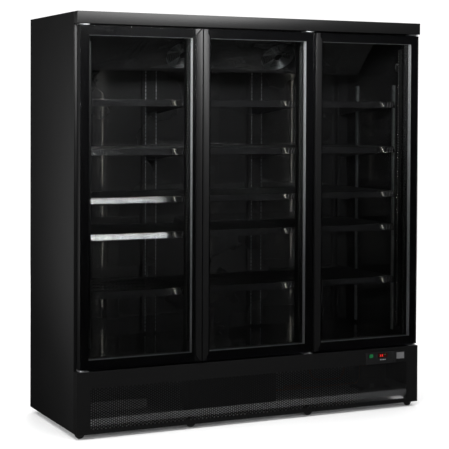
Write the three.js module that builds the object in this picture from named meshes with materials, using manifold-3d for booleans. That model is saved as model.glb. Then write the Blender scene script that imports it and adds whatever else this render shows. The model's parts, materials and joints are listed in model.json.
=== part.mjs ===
// Upright glass door merchandiser with three doors.
// Millimetres. X runs to the viewer's right, Y to the back, Z up; the origin is on the floor,
// under the middle of the whole object.

import * as THREE from 'three';
import { mergeVertices } from 'three/addons/utils/BufferGeometryUtils.js';
import Module from 'manifold-3d';

const wasm = await Module();
wasm.setup();

// ---- Driving dimensions ----------------------------------------------------------------------

const WIDTH = 1880;
const HEIGHT = 1997;
const FRONT = -345;             // plane of the header and the base grille
const BACK = 365;
const HALF = WIDTH / 2;
const GAP = 0.4;                // clearance between pieces that rest on each other
const SHEET = 2;

const FACE = FRONT + 46;        // cabinet face that the door gaskets close on
const SIDE_WALL = 56;
const BACK_WALL = 52;
const SKIRT_BOTTOM = 25;
const FOAM_BOTTOM = 300;
const FLOOR = 366;
const CEILING = 1941;
const LINER = 3;

const FRAME_DEPTH = 12;
const FRAME_EDGE = 3;           // casing edge that shows round the front frame
const SILL = 374;
const HEAD = 1895;
const JAMB = 878;
const MULLION_HALF = 35;
const MULLION_DEPTH = 79;

const HEADER_BOTTOM = 1940;
const BASE_TOP = 318;

const DOOR_PITCH = 620;
const DOOR_WIDTH = 614;
const DOOR_BOTTOM = 330;
const DOOR_TOP = 1930;
const DOOR_FRONT = FRONT - 6;   // outer face of the glass
const DOOR_BACK = FRONT + 38;
const PANE = 3.7;
const STILE = 36;
const HANDLE_WIDTH = 30;
const HANDLE_FRONT = FRONT - 20;
const HANDLE_UNDERCUT = 4;
const GASKET_INSET = 16;
const GASKET_WIDTH = 14;
const PIN_INSET = 13;
const PIN_Y = DOOR_FRONT + 12;
const PIN_RADIUS = 5;
const PIN_HOLE_RADIUS = 5.8;
const PIN_HOLE_DEPTH = 25;

const BAY_PITCH = 588;
const SHELF_WIDTH = 574;
const SHELF_DEPTH = 500;
const SHELF_FRONT = FRONT + 130;
const SHELF_TOPS = [670, 948, 1122, 1355, 1592];
const LIP_HEIGHT = 34;

const WHEEL_RADIUS = 25;
const WHEEL_SIDES = 24;
const WHEEL_CENTRE = WHEEL_RADIUS * Math.cos(Math.PI / WHEEL_SIDES);   // stands on a flat
const TRAIL = 14;
const TRAY_BOTTOM = 62;
const TRAY_THICKNESS = 4;
const KINGPIN_RADIUS = 5;
const DEGREE = Math.PI / 180;

// Castors: place of the kingpin, and the way the fork trails at rest.
const CASTORS = [
  { name: 'front_far_left', x: -895, y: FRONT + 48, turn: 8 },
  { name: 'front_mid_left', x: -325, y: FRONT + 48, turn: -12 },
  { name: 'front_mid_right', x: 325, y: FRONT + 48, turn: 0 },
  { name: 'front_far_right', x: 895, y: FRONT + 48, turn: 100 },
  { name: 'rear_left', x: -880, y: BACK - 70, turn: 20 },
  { name: 'rear_right', x: 880, y: BACK - 70, turn: -35 },
];

// Doors: outer edge on the hinge side, and the direction from there to the handle.
const DOORS = [
  { name: 'left', hingeX: -DOOR_PITCH - DOOR_WIDTH / 2, side: 1 },
  { name: 'middle', hingeX: DOOR_WIDTH / 2, side: -1 },
  { name: 'right', hingeX: DOOR_PITCH + DOOR_WIDTH / 2, side: -1 },
];

// ---- Finishes --------------------------------------------------------------------------------

function finish(color, roughness, metalness, opacity = 1) {
  return new THREE.MeshStandardMaterial({
    color, roughness, metalness, opacity, transparent: opacity < 1,
  });
}

const finishes = {
  paint: finish(0x1c1c1e, 0.4, 0.1),
  liner: finish(0x101012, 0.3, 0.1),
  shelf: finish(0x1a1a1c, 0.4, 0.2),
  glass: finish(0x20282a, 0.05, 0, 0.35),
  gasket: finish(0x0c0c0c, 0.8, 0),
  zinc: finish(0xb4b6b8, 0.35, 0.9),
  fins: finish(0x8a8c8e, 0.4, 0.9),
  enamel: finish(0x141414, 0.35, 0.3),
  plastic: finish(0x161618, 0.5, 0),
  green: finish(0x17803a, 0.35, 0),
  tyre: finish(0x141414, 0.8, 0),
};

// ---- Solids ----------------------------------------------------------------------------------

function signedVolume(positions, index) {
  const [a, b, c] = [new THREE.Vector3(), new THREE.Vector3(), new THREE.Vector3()];
  let volume = 0;
  for (let i = 0; i < index.count; i += 3) {
    a.fromBufferAttribute(positions, index.getX(i));
    b.fromBufferAttribute(positions, index.getX(i + 1));
    c.fromBufferAttribute(positions, index.getX(i + 2));
    volume += a.dot(b.cross(c)) / 6;
  }
  return volume;
}

/** A closed three.js geometry as a solid that can be joined and cut. */
function solid(geometry) {
  geometry.deleteAttribute('normal');
  geometry.deleteAttribute('uv');
  const merged = mergeVertices(geometry, 1e-4);
  const index = merged.getIndex();
  const triangles = Uint32Array.from(index.array);
  if (signedVolume(merged.attributes.position, index) < 0) {
    for (let i = 0; i < triangles.length; i += 3) {
      [triangles[i], triangles[i + 1]] = [triangles[i + 1], triangles[i]];
    }
  }
  return new wasm.Manifold(new wasm.Mesh({
    numProp: 3,
    vertProperties: Float32Array.from(merged.attributes.position.array),
    triVerts: triangles,
  }));
}

const join = (...parts) => parts.reduce((whole, part) => whole.add(part));
const cut = (body, ...tools) => tools.reduce((rest, tool) => rest.subtract(tool), body);

/** A box between two values on each axis, given in either order. */
function box([x0, x1], [y0, y1], [z0, z1], matrix) {
  const geometry = new THREE.BoxGeometry(Math.abs(x1 - x0), Math.abs(y1 - y0), Math.abs(z1 - z0));
  geometry.translate((x0 + x1) / 2, (y0 + y1) / 2, (z0 + z1) / 2);
  if (matrix) geometry.applyMatrix4(matrix);
  return solid(geometry);
}

/** An outline drawn across the given axis and pulled along it from one value to another. */
function prism(axis, outline, from, to) {
  const shape = new THREE.Shape(outline.map(([a, b]) => new THREE.Vector2(a, b)));
  const geometry = new THREE.ExtrudeGeometry(shape, { depth: to - from, bevelEnabled: false });
  geometry.translate(0, 0, from);
  const turns = {
    z: new THREE.Matrix4(),                                              // outline in X, Y
    x: new THREE.Matrix4().makeBasis(
      new THREE.Vector3(0, 1, 0), new THREE.Vector3(0, 0, 1), new THREE.Vector3(1, 0, 0)),
    y: new THREE.Matrix4().makeBasis(                                    // outline in Z, X
      new THREE.Vector3(0, 0, 1), new THREE.Vector3(1, 0, 0), new THREE.Vector3(0, 1, 0)),
  };
  return solid(geometry.applyMatrix4(turns[axis]));
}

/** A round bar along an axis, from one value to another. */
function bar(axis, [a, b], radius, from, to, sides = 24, matrix) {
  const geometry = new THREE.CylinderGeometry(radius, radius, to - from, sides);
  const middle = (from + to) / 2;
  if (axis === 'x') geometry.rotateZ(Math.PI / 2).translate(middle, a, b);
  if (axis === 'y') geometry.translate(a, middle, b);
  if (axis === 'z') geometry.rotateX(Math.PI / 2).translate(a, b, middle);
  if (matrix) geometry.applyMatrix4(matrix);
  return solid(geometry);
}

/** A profile of [radius, height] points that closes on itself, turned about the Y axis. */
function turned(profile, sides, start = 0) {
  const points = [...profile, profile[0]].map(([r, h]) => new THREE.Vector2(r, h));
  return solid(new THREE.LatheGeometry(points, sides, start));
}

const cabinet = new THREE.Group();

/** Adds a solid to the model as a named mesh. */
function piece(name, body, material, parent = cabinet) {
  const mesh = body.getMesh();
  const geometry = new THREE.BufferGeometry();
  geometry.setAttribute('position', new THREE.BufferAttribute(mesh.vertProperties, 3));
  geometry.setIndex(new THREE.BufferAttribute(mesh.triVerts, 1));
  geometry.computeVertexNormals();
  const node = new THREE.Mesh(geometry, material);
  node.name = name;
  parent.add(node);
}

// ---- Cabinet ---------------------------------------------------------------------------------

const LOUVRES = { rows: [130, 170, 210], count: 8, first: -700, pitch: 200, half: 60, height: 10 };

/** Louvres in the back of the machine compartment. */
function louvres() {
  const { rows, count, first, pitch, half, height } = LOUVRES;
  const slits = [];
  for (const z of rows) {
    for (let i = 0; i < count; i += 1) {
      const x = first + i * pitch;
      slits.push(box([x - half, x + half], [BACK - SHEET - 1, BACK + 1], [z, z + height]));
    }
  }
  return slits;
}

function foamedCasing() {
  const shell = box([-HALF, HALF], [FACE, BACK], [SKIRT_BOTTOM, HEIGHT]);
  const cavity = box([SIDE_WALL - HALF, HALF - SIDE_WALL], [FACE - 1, BACK - BACK_WALL], [FLOOR, CEILING]);
  const rebate = box([FRAME_EDGE - HALF, HALF - FRAME_EDGE], [FACE - 1, FACE + FRAME_DEPTH + GAP],
    [FOAM_BOTTOM, HEADER_BOTTOM]);
  const machineRoom = box([SHEET - HALF, HALF - SHEET], [FACE - 1, BACK + 1],
    [SKIRT_BOTTOM - 1, FOAM_BOTTOM]);
  piece('foamed_casing', cut(shell, cavity, rebate, machineRoom), finishes.paint);
}

/** The service cover at the back of the machine compartment, between the sides of the casing. */
function rearCover() {
  const side = HALF - SHEET - GAP;
  const cover = box([-side, side], [BACK - SHEET, BACK], [SKIRT_BOTTOM, FOAM_BOTTOM - GAP]);
  piece('rear_cover', cut(cover, ...louvres()), finishes.paint);
}

function innerLiner() {
  const side = HALF - SIDE_WALL - GAP;
  const front = FACE + FRAME_DEPTH + 2 * GAP;
  const back = BACK - BACK_WALL - GAP;
  const tub = box([-side, side], [front, back], [FLOOR + GAP, CEILING - GAP]);
  const room = box([LINER - side, side - LINER], [front - 1, back - LINER],
    [FLOOR + GAP + LINER, CEILING - GAP - LINER]);
  piece('inner_liner', cut(tub, room), finishes.liner);
}

function frontFrame() {
  const side = HALF - FRAME_EDGE - GAP;
  const plate = box([-side, side], [FACE, FACE + FRAME_DEPTH], [FOAM_BOTTOM + GAP, HEADER_BOTTOM - GAP]);
  const inner = DOOR_PITCH / 2;
  const openings = [
    [-JAMB, -inner - MULLION_HALF],
    [-inner + MULLION_HALF, inner - MULLION_HALF],
    [inner + MULLION_HALF, JAMB],
  ].map((span) => box(span, [FACE - 1, FACE + FRAME_DEPTH + 1], [SILL, HEAD]));
  const clear = LINER + 2 * GAP;
  const mullions = [-inner, inner].map((x) => box([x - MULLION_HALF, x + MULLION_HALF],
    [FACE + FRAME_DEPTH - 1, FACE + MULLION_DEPTH], [FLOOR + clear, CEILING - clear]));
  piece('front_frame', join(cut(plate, ...openings), ...mullions), finishes.liner);
}

function headerFascia() {
  const front = box([-HALF, HALF], [FRONT, FACE - GAP], [HEADER_BOTTOM, HEIGHT]);
  const hollow = box([SHEET - HALF, HALF - SHEET], [FRONT + SHEET, FACE],
    [HEADER_BOTTOM + SHEET, HEIGHT - SHEET]);
  piece('header_fascia', cut(front, hollow), finishes.paint);
}

const PANEL = { x: [620, 805], z: [238, 299], front: FRONT - 5 };
const PANEL_BODY = { x: [630, 795], z: [244, 295], back: FRONT + 40 };

const SLOTS = { count: 36, width: 24, pitch: 48, z: [48, 232] };

function grillePanel() {
  const panel = box([-HALF, HALF], [FRONT, FACE - GAP], [SKIRT_BOTTOM, BASE_TOP]);
  const hollow = box([SHEET - HALF, HALF - SHEET], [FRONT + SHEET, FACE],
    [SKIRT_BOTTOM + SHEET, BASE_TOP - SHEET]);
  const hem = 5;
  const underside = box([SHEET - HALF, HALF - SHEET], [FRONT + hem, FACE],
    [SKIRT_BOTTOM - 1, SKIRT_BOTTOM + SHEET + 1]);
  const slots = [];
  for (let i = 0; i < SLOTS.count; i += 1) {
    const x = (i - (SLOTS.count - 1) / 2) * SLOTS.pitch;
    slots.push(box([x - SLOTS.width / 2, x + SLOTS.width / 2], [FRONT - 1, FRONT + SHEET + 1], SLOTS.z));
  }
  const panelHole = box([PANEL_BODY.x[0] - 1, PANEL_BODY.x[1] + 1], [FRONT - 1, FRONT + SHEET + 1],
    [PANEL_BODY.z[0] - 1, PANEL_BODY.z[1] + 1]);
  piece('grille_panel', cut(panel, hollow, underside, panelHole, ...slots), finishes.paint);
}

/** The floor that carries the castors and the condensing unit, with the pan that catches condensate. */
function baseTray() {
  const upstand = 32;
  const holeRadius = KINGPIN_RADIUS + 0.8;
  const side = HALF - SHEET - GAP;
  const front = FRONT + 8;
  const back = BACK - SHEET - GAP;
  const top = TRAY_BOTTOM + upstand;
  const tray = box([-side, side], [front, back], [TRAY_BOTTOM, top]);
  const room = box([SHEET - side, side - SHEET], [front + SHEET, back - SHEET],
    [TRAY_BOTTOM + TRAY_THICKNESS, top + 1]);
  const pan = cut(box([-800, -480], [FRONT + 260, FRONT + 520], [TRAY_BOTTOM + 1, TRAY_BOTTOM + 54]),
    box([-797, -483], [FRONT + 263, FRONT + 517], [TRAY_BOTTOM + TRAY_THICKNESS, TRAY_BOTTOM + 55]));
  const kingpinHoles = CASTORS.map(({ x, y }) =>
    bar('z', [x, y], holeRadius, TRAY_BOTTOM - 1, top, 12));
  piece('base_tray', join(cut(tray, room, ...kingpinHoles), pan), finishes.zinc);
}

function rearPilasters() {
  const halfWidth = 48;
  const depth = 22;
  const wall = 2;
  const back = BACK - BACK_WALL - LINER - 2 * GAP;
  const front = back - depth;
  const bottom = FLOOR + LINER + 2 * GAP;
  const top = CEILING - LINER - 2 * GAP;
  for (const [name, x] of [['left', -DOOR_PITCH / 2], ['right', DOOR_PITCH / 2]]) {
    const channel = box([x - halfWidth, x + halfWidth], [front, back], [bottom, top]);
    const hollow = box([x - halfWidth + wall, x + halfWidth - wall], [front + wall, back + 1],
      [bottom - 1, top + 1]);
    piece(`rear_pilaster_${name}`, cut(channel, hollow), finishes.liner);
  }
}

function shelves() {
  const half = SHELF_WIDTH / 2;
  const deck = 3;
  const fold = 18;
  const bracketX = 250;
  const bracketOutline = [[SHELF_DEPTH, -2], [SHELF_DEPTH, -70], [SHELF_DEPTH - 60, -70], [40, -24], [40, -2]];
  const bracket = (x) => prism('x', bracketOutline, x - 1.5, x + 1.5);
  ['left', 'middle', 'right'].forEach((bay, column) => {
    SHELF_TOPS.forEach((top, level) => {
      const shelf = join(
        box([-half, half], [0, SHELF_DEPTH], [-deck, 0]),
        box([-half, half], [0, deck], [-LIP_HEIGHT, 0]),
        box([-half, half], [2, 12], [-LIP_HEIGHT, deck - LIP_HEIGHT]),
        box([-half, half], [SHELF_DEPTH - 2, SHELF_DEPTH], [-fold, 0]),
        box([-half, 2 - half], [0, SHELF_DEPTH], [-fold, 0]),
        box([half - 2, half], [0, SHELF_DEPTH], [-fold, 0]),
        bracket(-bracketX),
        bracket(bracketX),
      );
      const place = new THREE.Group();
      place.position.set((column - 1) * BAY_PITCH, SHELF_FRONT, top);
      cabinet.add(place);
      piece(`shelf_${bay}_${level + 1}`, shelf, finishes.shelf, place);
    });
  });
}

// ---- Doors -----------------------------------------------------------------------------------

/** A rectangular ring, wide by high, that is cut through along Y. */
function ring(x, y, z, width) {
  const [x0, x1] = [Math.min(...x), Math.max(...x)];
  return cut(box([x0, x1], y, z),
    box([x0 + width, x1 - width], [y[0] - 1, y[1] + 1], [z[0] + width, z[1] - width]));
}

/** The handle profile, with its ends mitred into the corners of the frame. */
function handle(at) {
  const root = FRONT;
  const inner = DOOR_WIDTH - HANDLE_WIDTH;
  const section = [
    [at(inner), HANDLE_FRONT], [at(DOOR_WIDTH), HANDLE_FRONT],
    [at(DOOR_WIDTH), root], [at(inner + HANDLE_UNDERCUT), root],
  ];
  const profile = prism('z', section, DOOR_BOTTOM, DOOR_TOP);
  const mitre = (z, way) => prism('y', [
    [z - way * (HANDLE_WIDTH + 1), at(inner - 1)], [z + way, at(inner - 1)], [z + way, at(DOOR_WIDTH + 1)],
  ], HANDLE_FRONT - 1, FRONT - 2);
  return cut(profile, mitre(DOOR_TOP, 1), mitre(DOOR_BOTTOM, -1));
}

function door({ name, hingeX, side }) {
  const at = (u) => hingeX + side * u;
  const height = [DOOR_BOTTOM, DOOR_TOP];
  const pin = [at(PIN_INSET), PIN_Y];
  const frame = cut(
    join(ring([at(0), at(DOOR_WIDTH)], [FRONT - 2, DOOR_BACK], height, STILE), handle(at)),
    bar('z', pin, PIN_HOLE_RADIUS, DOOR_TOP - PIN_HOLE_DEPTH, DOOR_TOP + 1),
    bar('z', pin, PIN_HOLE_RADIUS, DOOR_BOTTOM - 1, DOOR_BOTTOM + PIN_HOLE_DEPTH),
  );
  piece(`door_${name}_frame`, frame, finishes.paint);

  const inset = STILE + GAP;
  const glass = join(
    box([at(0), at(DOOR_WIDTH - HANDLE_WIDTH - GAP)], [DOOR_FRONT, DOOR_FRONT + PANE - GAP], height),
    box([at(inset), at(DOOR_WIDTH - inset)], [DOOR_FRONT + 1, DOOR_FRONT + 38],
      [DOOR_BOTTOM + inset, DOOR_TOP - inset]),
  );
  piece(`door_${name}_glass`, glass, finishes.glass);

  const gasket = ring([at(GASKET_INSET), at(DOOR_WIDTH - GASKET_INSET)], [DOOR_BACK + GAP, FACE - GAP],
    [DOOR_BOTTOM + GASKET_INSET, DOOR_TOP - GASKET_INSET], GASKET_WIDTH);
  piece(`door_${name}_gasket`, gasket, finishes.gasket);
}

/** The brackets that carry the pins above and below each door. */
function hinges({ name, hingeX, side }) {
  const at = (u) => hingeX + side * u;
  const pin = [at(PIN_INSET), PIN_Y];
  const plate = 3;
  const washer = 9;
  const span = [at(1), at(46)];
  const reach = [PIN_Y - 10, FACE - GAP];
  const leaf = [FACE - GAP - plate, FACE - GAP];
  const low = DOOR_BOTTOM - 10;
  const bottom = join(
    box(span, reach, [low, low + plate]),
    box(span, leaf, [low, low + 9]),
    bar('z', pin, washer, low + plate - 1, low + plate + 4),
    bar('z', pin, PIN_RADIUS, low, DOOR_BOTTOM + PIN_HOLE_DEPTH - 3),
  );
  piece(`hinge_${name}_bottom`, bottom, finishes.zinc);
  const high = DOOR_TOP + 4;
  const top = join(
    box(span, reach, [high, high + plate]),
    box(span, leaf, [high, HEADER_BOTTOM - GAP]),
    bar('z', pin, PIN_RADIUS, DOOR_TOP - PIN_HOLE_DEPTH + 3, high + 1),
  );
  piece(`hinge_${name}_top`, top, finishes.zinc);
}

// ---- Refrigeration ---------------------------------------------------------------------------

/** A fan wheel on the Z axis: a hub with pitched blades. */
function fanWheel({ radius, hub, depth, blades, matrix }) {
  const root = hub - 4;               // the blades start inside the hub
  const chord = radius * 0.5;
  const length = radius - root;
  const pitch = 25 * DEGREE;
  let wheel = bar('z', [0, 0], hub, -depth / 2, depth / 2, 16, matrix);
  for (let i = 0; i < blades; i += 1) {
    const place = new THREE.Matrix4().makeRotationZ(i * 2 * Math.PI / blades)
      .multiply(new THREE.Matrix4().makeTranslation(root + length / 2, 0, 0))
      .multiply(new THREE.Matrix4().makeRotationX(pitch));
    wheel = wheel.add(box([-length / 2, length / 2], [-chord / 2, chord / 2], [-1, 1],
      new THREE.Matrix4().multiplyMatrices(matrix, place)));
  }
  return wheel;
}

// Side view of the evaporator cover as [y, z]: a short front, a slope with the fans, a flat bottom.
const COVER = {
  half: 800, front: FRONT + 225, slopeTop: 1900, slopeBack: FRONT + 390, bottom: 1738,
  back: FRONT + 620, top: 1936.8,
};
const FAN_X = 268;
const FAN_RADIUS = 84;
const FAN_HOLE = 92;
const COIL_HALF = 700;

/** The frame of a fan: X across the cover, Y down the slope, Z into the cover. */
function fanFrame(x) {
  const down = new THREE.Vector3(0, COVER.slopeBack - COVER.front, COVER.bottom - COVER.slopeTop).normalize();
  const across = new THREE.Vector3(1, 0, 0);
  const inward = new THREE.Vector3().crossVectors(across, down);
  const middle = [x, (COVER.front + COVER.slopeBack) / 2, (COVER.slopeTop + COVER.bottom) / 2];
  return new THREE.Matrix4().makeBasis(across, down, inward).setPosition(...middle);
}

function evaporator() {
  const { half, front, slopeTop, slopeBack, bottom, back, top } = COVER;
  const outline = [[front, top], [front, slopeTop], [slopeBack, bottom], [back, bottom], [back, top]];
  const hollow = [
    [front + SHEET, top + 1], [front + SHEET, slopeTop + 1], [slopeBack + 1, bottom + SHEET],
    [back - SHEET, bottom + SHEET], [back - SHEET, top + 1],
  ];
  let cover = cut(prism('x', outline, -half, half), prism('x', hollow, SHEET - half, half - SHEET),
    box([-600, 600], [back - SHEET - 1, back + 1], [bottom + 20, bottom + 60]));
  for (const [name, x] of [['left', -FAN_X], ['right', FAN_X]]) {
    const frame = fanFrame(x);
    const reach = FAN_HOLE + 8;         // ends of the motor bracket
    const wheelDepth = 15;
    cover = join(
      cut(cover, bar('z', [0, 0], FAN_HOLE, -20, 20, 32, frame)),
      box([-reach, reach], [-6, 6], [30, 34], frame),
      box([-reach, 4 - reach], [-6, 6], [1, 34], frame),
      box([reach - 4, reach], [-6, 6], [1, 34], frame),
      bar('z', [0, 0], 26, 33, 66, 20, frame),
    );
    const wheelFrame = frame.clone().multiply(new THREE.Matrix4().makeTranslation(0, 0, wheelDepth));
    const wheel = fanWheel({ radius: FAN_RADIUS, hub: 24, depth: 18, blades: 5, matrix: wheelFrame });
    piece(`evaporator_fan_${name}`, wheel, finishes.plastic);
  }
  piece('evaporator_cover', cover, finishes.liner);

  const coilY = [slopeBack + 60, back - 30];
  const coilZ = [bottom + 20, top - 30];
  const coil = join(
    box([-COIL_HALF, COIL_HALF], coilY, coilZ),
    ...[-1, 1].map((side) => box([side * (COIL_HALF - 1), side * (COIL_HALF + 6)],
      [coilY[0] - 8, coilY[1] + 8], [coilZ[0] - 8, coilZ[1] + 8])),
  );
  piece('evaporator_coil', coil, finishes.fins);
}

function condensingUnit() {
  const ground = TRAY_BOTTOM + TRAY_THICKNESS + GAP;
  const x = [-340, 136];
  const y = [FRONT + 70, FRONT + 130];
  const z = [ground, 250];
  const middle = [(x[0] + x[1]) / 2, (z[0] + z[1]) / 2 + 4];
  const fanRadius = 76;
  const shroudDepth = 34;
  const endPlate = 5;
  const overhang = 6;
  const condenser = cut(
    join(
      box([x[0] + 4, x[1] - 4], y, [z[0] + overhang, z[1] - overhang]),
      box([x[0], x[0] + endPlate], [y[0] - overhang, y[1] + overhang], z),
      box([x[1] - endPlate, x[1]], [y[0] - overhang, y[1] + overhang], z),
      box(x, [y[1] - 1, y[1] + shroudDepth], z),
    ),
    bar('y', middle, fanRadius + overhang, y[1] + 2, y[1] + shroudDepth + 1, 32),
  );
  piece('condenser', condenser, finishes.enamel);
  const fanFrameMatrix = new THREE.Matrix4().makeRotationX(Math.PI / 2)
    .setPosition(middle[0], y[1] + 20, middle[1]);
  piece('condenser_fan', fanWheel({
    radius: fanRadius, hub: 22, depth: 18, blades: 5, matrix: fanFrameMatrix,
  }), finishes.plastic);

  const [compressorX, compressorY] = [790, FRONT + 230];
  const sides = 20;
  const can = turned([
    [0.01, ground + 12], [70, ground + 12], [84, ground + 26], [84, ground + 60], [88, ground + 62],
    [88, ground + 68], [84, ground + 70], [84, ground + 130], [66, ground + 158], [0.01, ground + 170],
  ], sides);
  const upright = new THREE.Matrix4().makeRotationX(Math.PI / 2);
  const shell = placed(can, upright.setPosition(compressorX, compressorY, 0));
  const compressor = join(
    shell,
    box([compressorX - 95, compressorX + 95], [compressorY - 60, compressorY + 60], [ground + 9, ground + 14]),
    ...[-80, 80].flatMap((dx) => [-46, 46].map((dy) =>
      bar('z', [compressorX + dx, compressorY + dy], 12, ground, ground + 10, 16))),
    box([compressorX - 104, compressorX - 78], [compressorY - 30, compressorY + 30], [ground + 50, ground + 110]),
  );
  piece('compressor', compressor, finishes.enamel);
}

/** The same solid, moved by a matrix. */
function placed(body, matrix) {
  const mesh = body.getMesh();
  const geometry = new THREE.BufferGeometry();
  geometry.setAttribute('position', new THREE.BufferAttribute(mesh.vertProperties, 3));
  geometry.setIndex(new THREE.BufferAttribute(mesh.triVerts, 1));
  return solid(geometry.applyMatrix4(matrix));
}

// ---- Controls --------------------------------------------------------------------------------

const ROCKER = { x: 651, z: 282, halfWidth: 11.4, halfHeight: 8.6, pivotY: FRONT - 2, rest: 6 };

function controls() {
  const well = { x: ROCKER.halfWidth + 1.8, z: ROCKER.halfHeight + 0.8, depth: 12 };
  const display = { x: [694, 752], z: [271, 293] };
  const lip = 3;
  const panel = cut(
    join(
      box(PANEL.x, [PANEL.front, FRONT - GAP], PANEL.z),
      box([PANEL.x[0], PANEL.x[1] - 14], [PANEL.front - lip, PANEL.front + 1], [PANEL.z[0], PANEL.z[0] + 4]),
      box([PANEL.x[1] - 16, PANEL.x[1]], [PANEL.front - lip, PANEL.front + 1], PANEL.z),
      box(PANEL_BODY.x, [FRONT - 1, PANEL_BODY.back], PANEL_BODY.z),
    ),
    box([ROCKER.x - well.x, ROCKER.x + well.x], [PANEL.front - 1, PANEL.front + well.depth],
      [ROCKER.z - well.z, ROCKER.z + well.z]),
    box(display.x, [PANEL.front - 1, PANEL.front + 2], display.z),
  );
  piece('control_panel', panel, finishes.plastic);

  const { halfWidth, halfHeight } = ROCKER;
  const rockerOutline = [
    [-halfWidth, -7], [0, -4.6], [halfWidth, -7], [halfWidth - 3, 3], [4, 6], [-4, 6], [3 - halfWidth, 3],
  ];
  const rocker = new THREE.Group();
  rocker.position.set(ROCKER.x, ROCKER.pivotY, ROCKER.z);
  rocker.rotation.z = ROCKER.rest * DEGREE;
  cabinet.add(rocker);
  piece('power_switch', prism('z', rockerOutline, -halfHeight, halfHeight), finishes.green, rocker);
}

// ---- Castors ---------------------------------------------------------------------------------

function castor({ name, x, y, turn }) {
  const forkInner = 10;
  const forkOuter = 12.5;
  const plateRadius = 19;
  const axleRadius = 3.4;
  const crownTop = TRAY_BOTTOM - GAP;
  const crownBottom = crownTop - 6;
  const fork = (from, to) => prism('y', [
    [crownBottom + 1, -12], [crownBottom + 1, 12], [WHEEL_CENTRE - 7, -TRAIL + 7],
    [WHEEL_CENTRE - 7, -TRAIL - 7], [WHEEL_CENTRE + 6, -TRAIL - 9],
  ], from, to);
  const yoke = join(
    bar('z', [0, 0], plateRadius, crownBottom, crownTop, 20),
    bar('z', [0, 0], KINGPIN_RADIUS, crownTop - 2, TRAY_BOTTOM + TRAY_THICKNESS + 5, 16),
    fork(-forkOuter, -forkInner),
    fork(forkInner, forkOuter),
    bar('y', [-TRAIL, WHEEL_CENTRE], axleRadius, -forkOuter, forkOuter, 12),
  );
  const wheel = turned([
    [4.2, -9.4], [9, -9.4], [23, -8], [WHEEL_RADIUS, -5.5],
    [WHEEL_RADIUS, 5.5], [23, 8], [9, 9.4], [4.2, 9.4],
  ], WHEEL_SIDES, Math.PI / WHEEL_SIDES);
  const swivel = new THREE.Group();
  swivel.position.set(x, y, 0);
  swivel.rotation.z = turn * DEGREE;
  cabinet.add(swivel);
  piece(`castor_${name}_yoke`, yoke, finishes.zinc, swivel);
  const axle = new THREE.Group();
  axle.position.set(-TRAIL, 0, WHEEL_CENTRE);
  swivel.add(axle);
  piece(`castor_${name}_wheel`, wheel, finishes.tyre, axle);
}

// ---- Assembly --------------------------------------------------------------------------------

foamedCasing();
rearCover();
innerLiner();
frontFrame();
headerFascia();
grillePanel();
baseTray();
rearPilasters();
shelves();
DOORS.forEach(door);
DOORS.forEach(hinges);
evaporator();
condensingUnit();
controls();
CASTORS.forEach(castor);

export default cabinet;
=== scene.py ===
import json
from math import cos, pi, radians, sin

import bmesh
import bpy
from bpy.props import FloatProperty, FloatVectorProperty, IntProperty, PointerProperty
from mathutils import Matrix, Vector


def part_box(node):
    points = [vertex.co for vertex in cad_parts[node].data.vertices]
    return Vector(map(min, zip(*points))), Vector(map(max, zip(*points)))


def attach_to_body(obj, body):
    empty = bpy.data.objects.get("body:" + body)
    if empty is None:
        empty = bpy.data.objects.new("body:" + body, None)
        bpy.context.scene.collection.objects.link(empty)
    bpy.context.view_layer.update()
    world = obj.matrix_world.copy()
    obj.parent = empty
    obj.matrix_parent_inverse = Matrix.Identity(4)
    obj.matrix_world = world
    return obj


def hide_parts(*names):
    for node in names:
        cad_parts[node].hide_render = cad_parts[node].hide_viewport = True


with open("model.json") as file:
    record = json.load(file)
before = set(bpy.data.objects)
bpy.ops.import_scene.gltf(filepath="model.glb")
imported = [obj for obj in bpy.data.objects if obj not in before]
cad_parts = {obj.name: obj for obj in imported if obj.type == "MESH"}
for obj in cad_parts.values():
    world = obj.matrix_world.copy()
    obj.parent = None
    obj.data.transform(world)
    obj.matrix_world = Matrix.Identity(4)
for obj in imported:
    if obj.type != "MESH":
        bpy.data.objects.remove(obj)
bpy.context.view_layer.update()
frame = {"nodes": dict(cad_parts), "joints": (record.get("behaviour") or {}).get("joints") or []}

bl_info = {
    "name": "Glass Door Merchandiser",
    "version": (1, 0, 0),
    "blender": (4, 5, 0),
    "location": "View3D > Sidebar > Merchandiser",
    "description": "Dresses the frame of a three-door upright glass door merchandiser",
    "category": "Object",
}

BAYS = ("left", "middle", "right")
DOOR_SIDES = {"left": 1, "middle": -1, "right": -1}      # way from the hinge to the handle
CASTORS = ("front_far_left", "front_mid_left", "front_mid_right", "front_far_right",
           "rear_left", "rear_right")
SHELF_LEVELS = range(1, 6)
CABINET = "cabinet"
JOINTS = {joint["name"]: joint for joint in frame["joints"]}


# ---- Node trees --------------------------------------------------------------------------------

def plug(tree, socket, value):
    """Feeds a socket with a link, a wire or a plain value."""
    if isinstance(value, Wire):
        tree.links.new(value.socket, socket)
    else:
        socket.default_value = value


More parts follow.
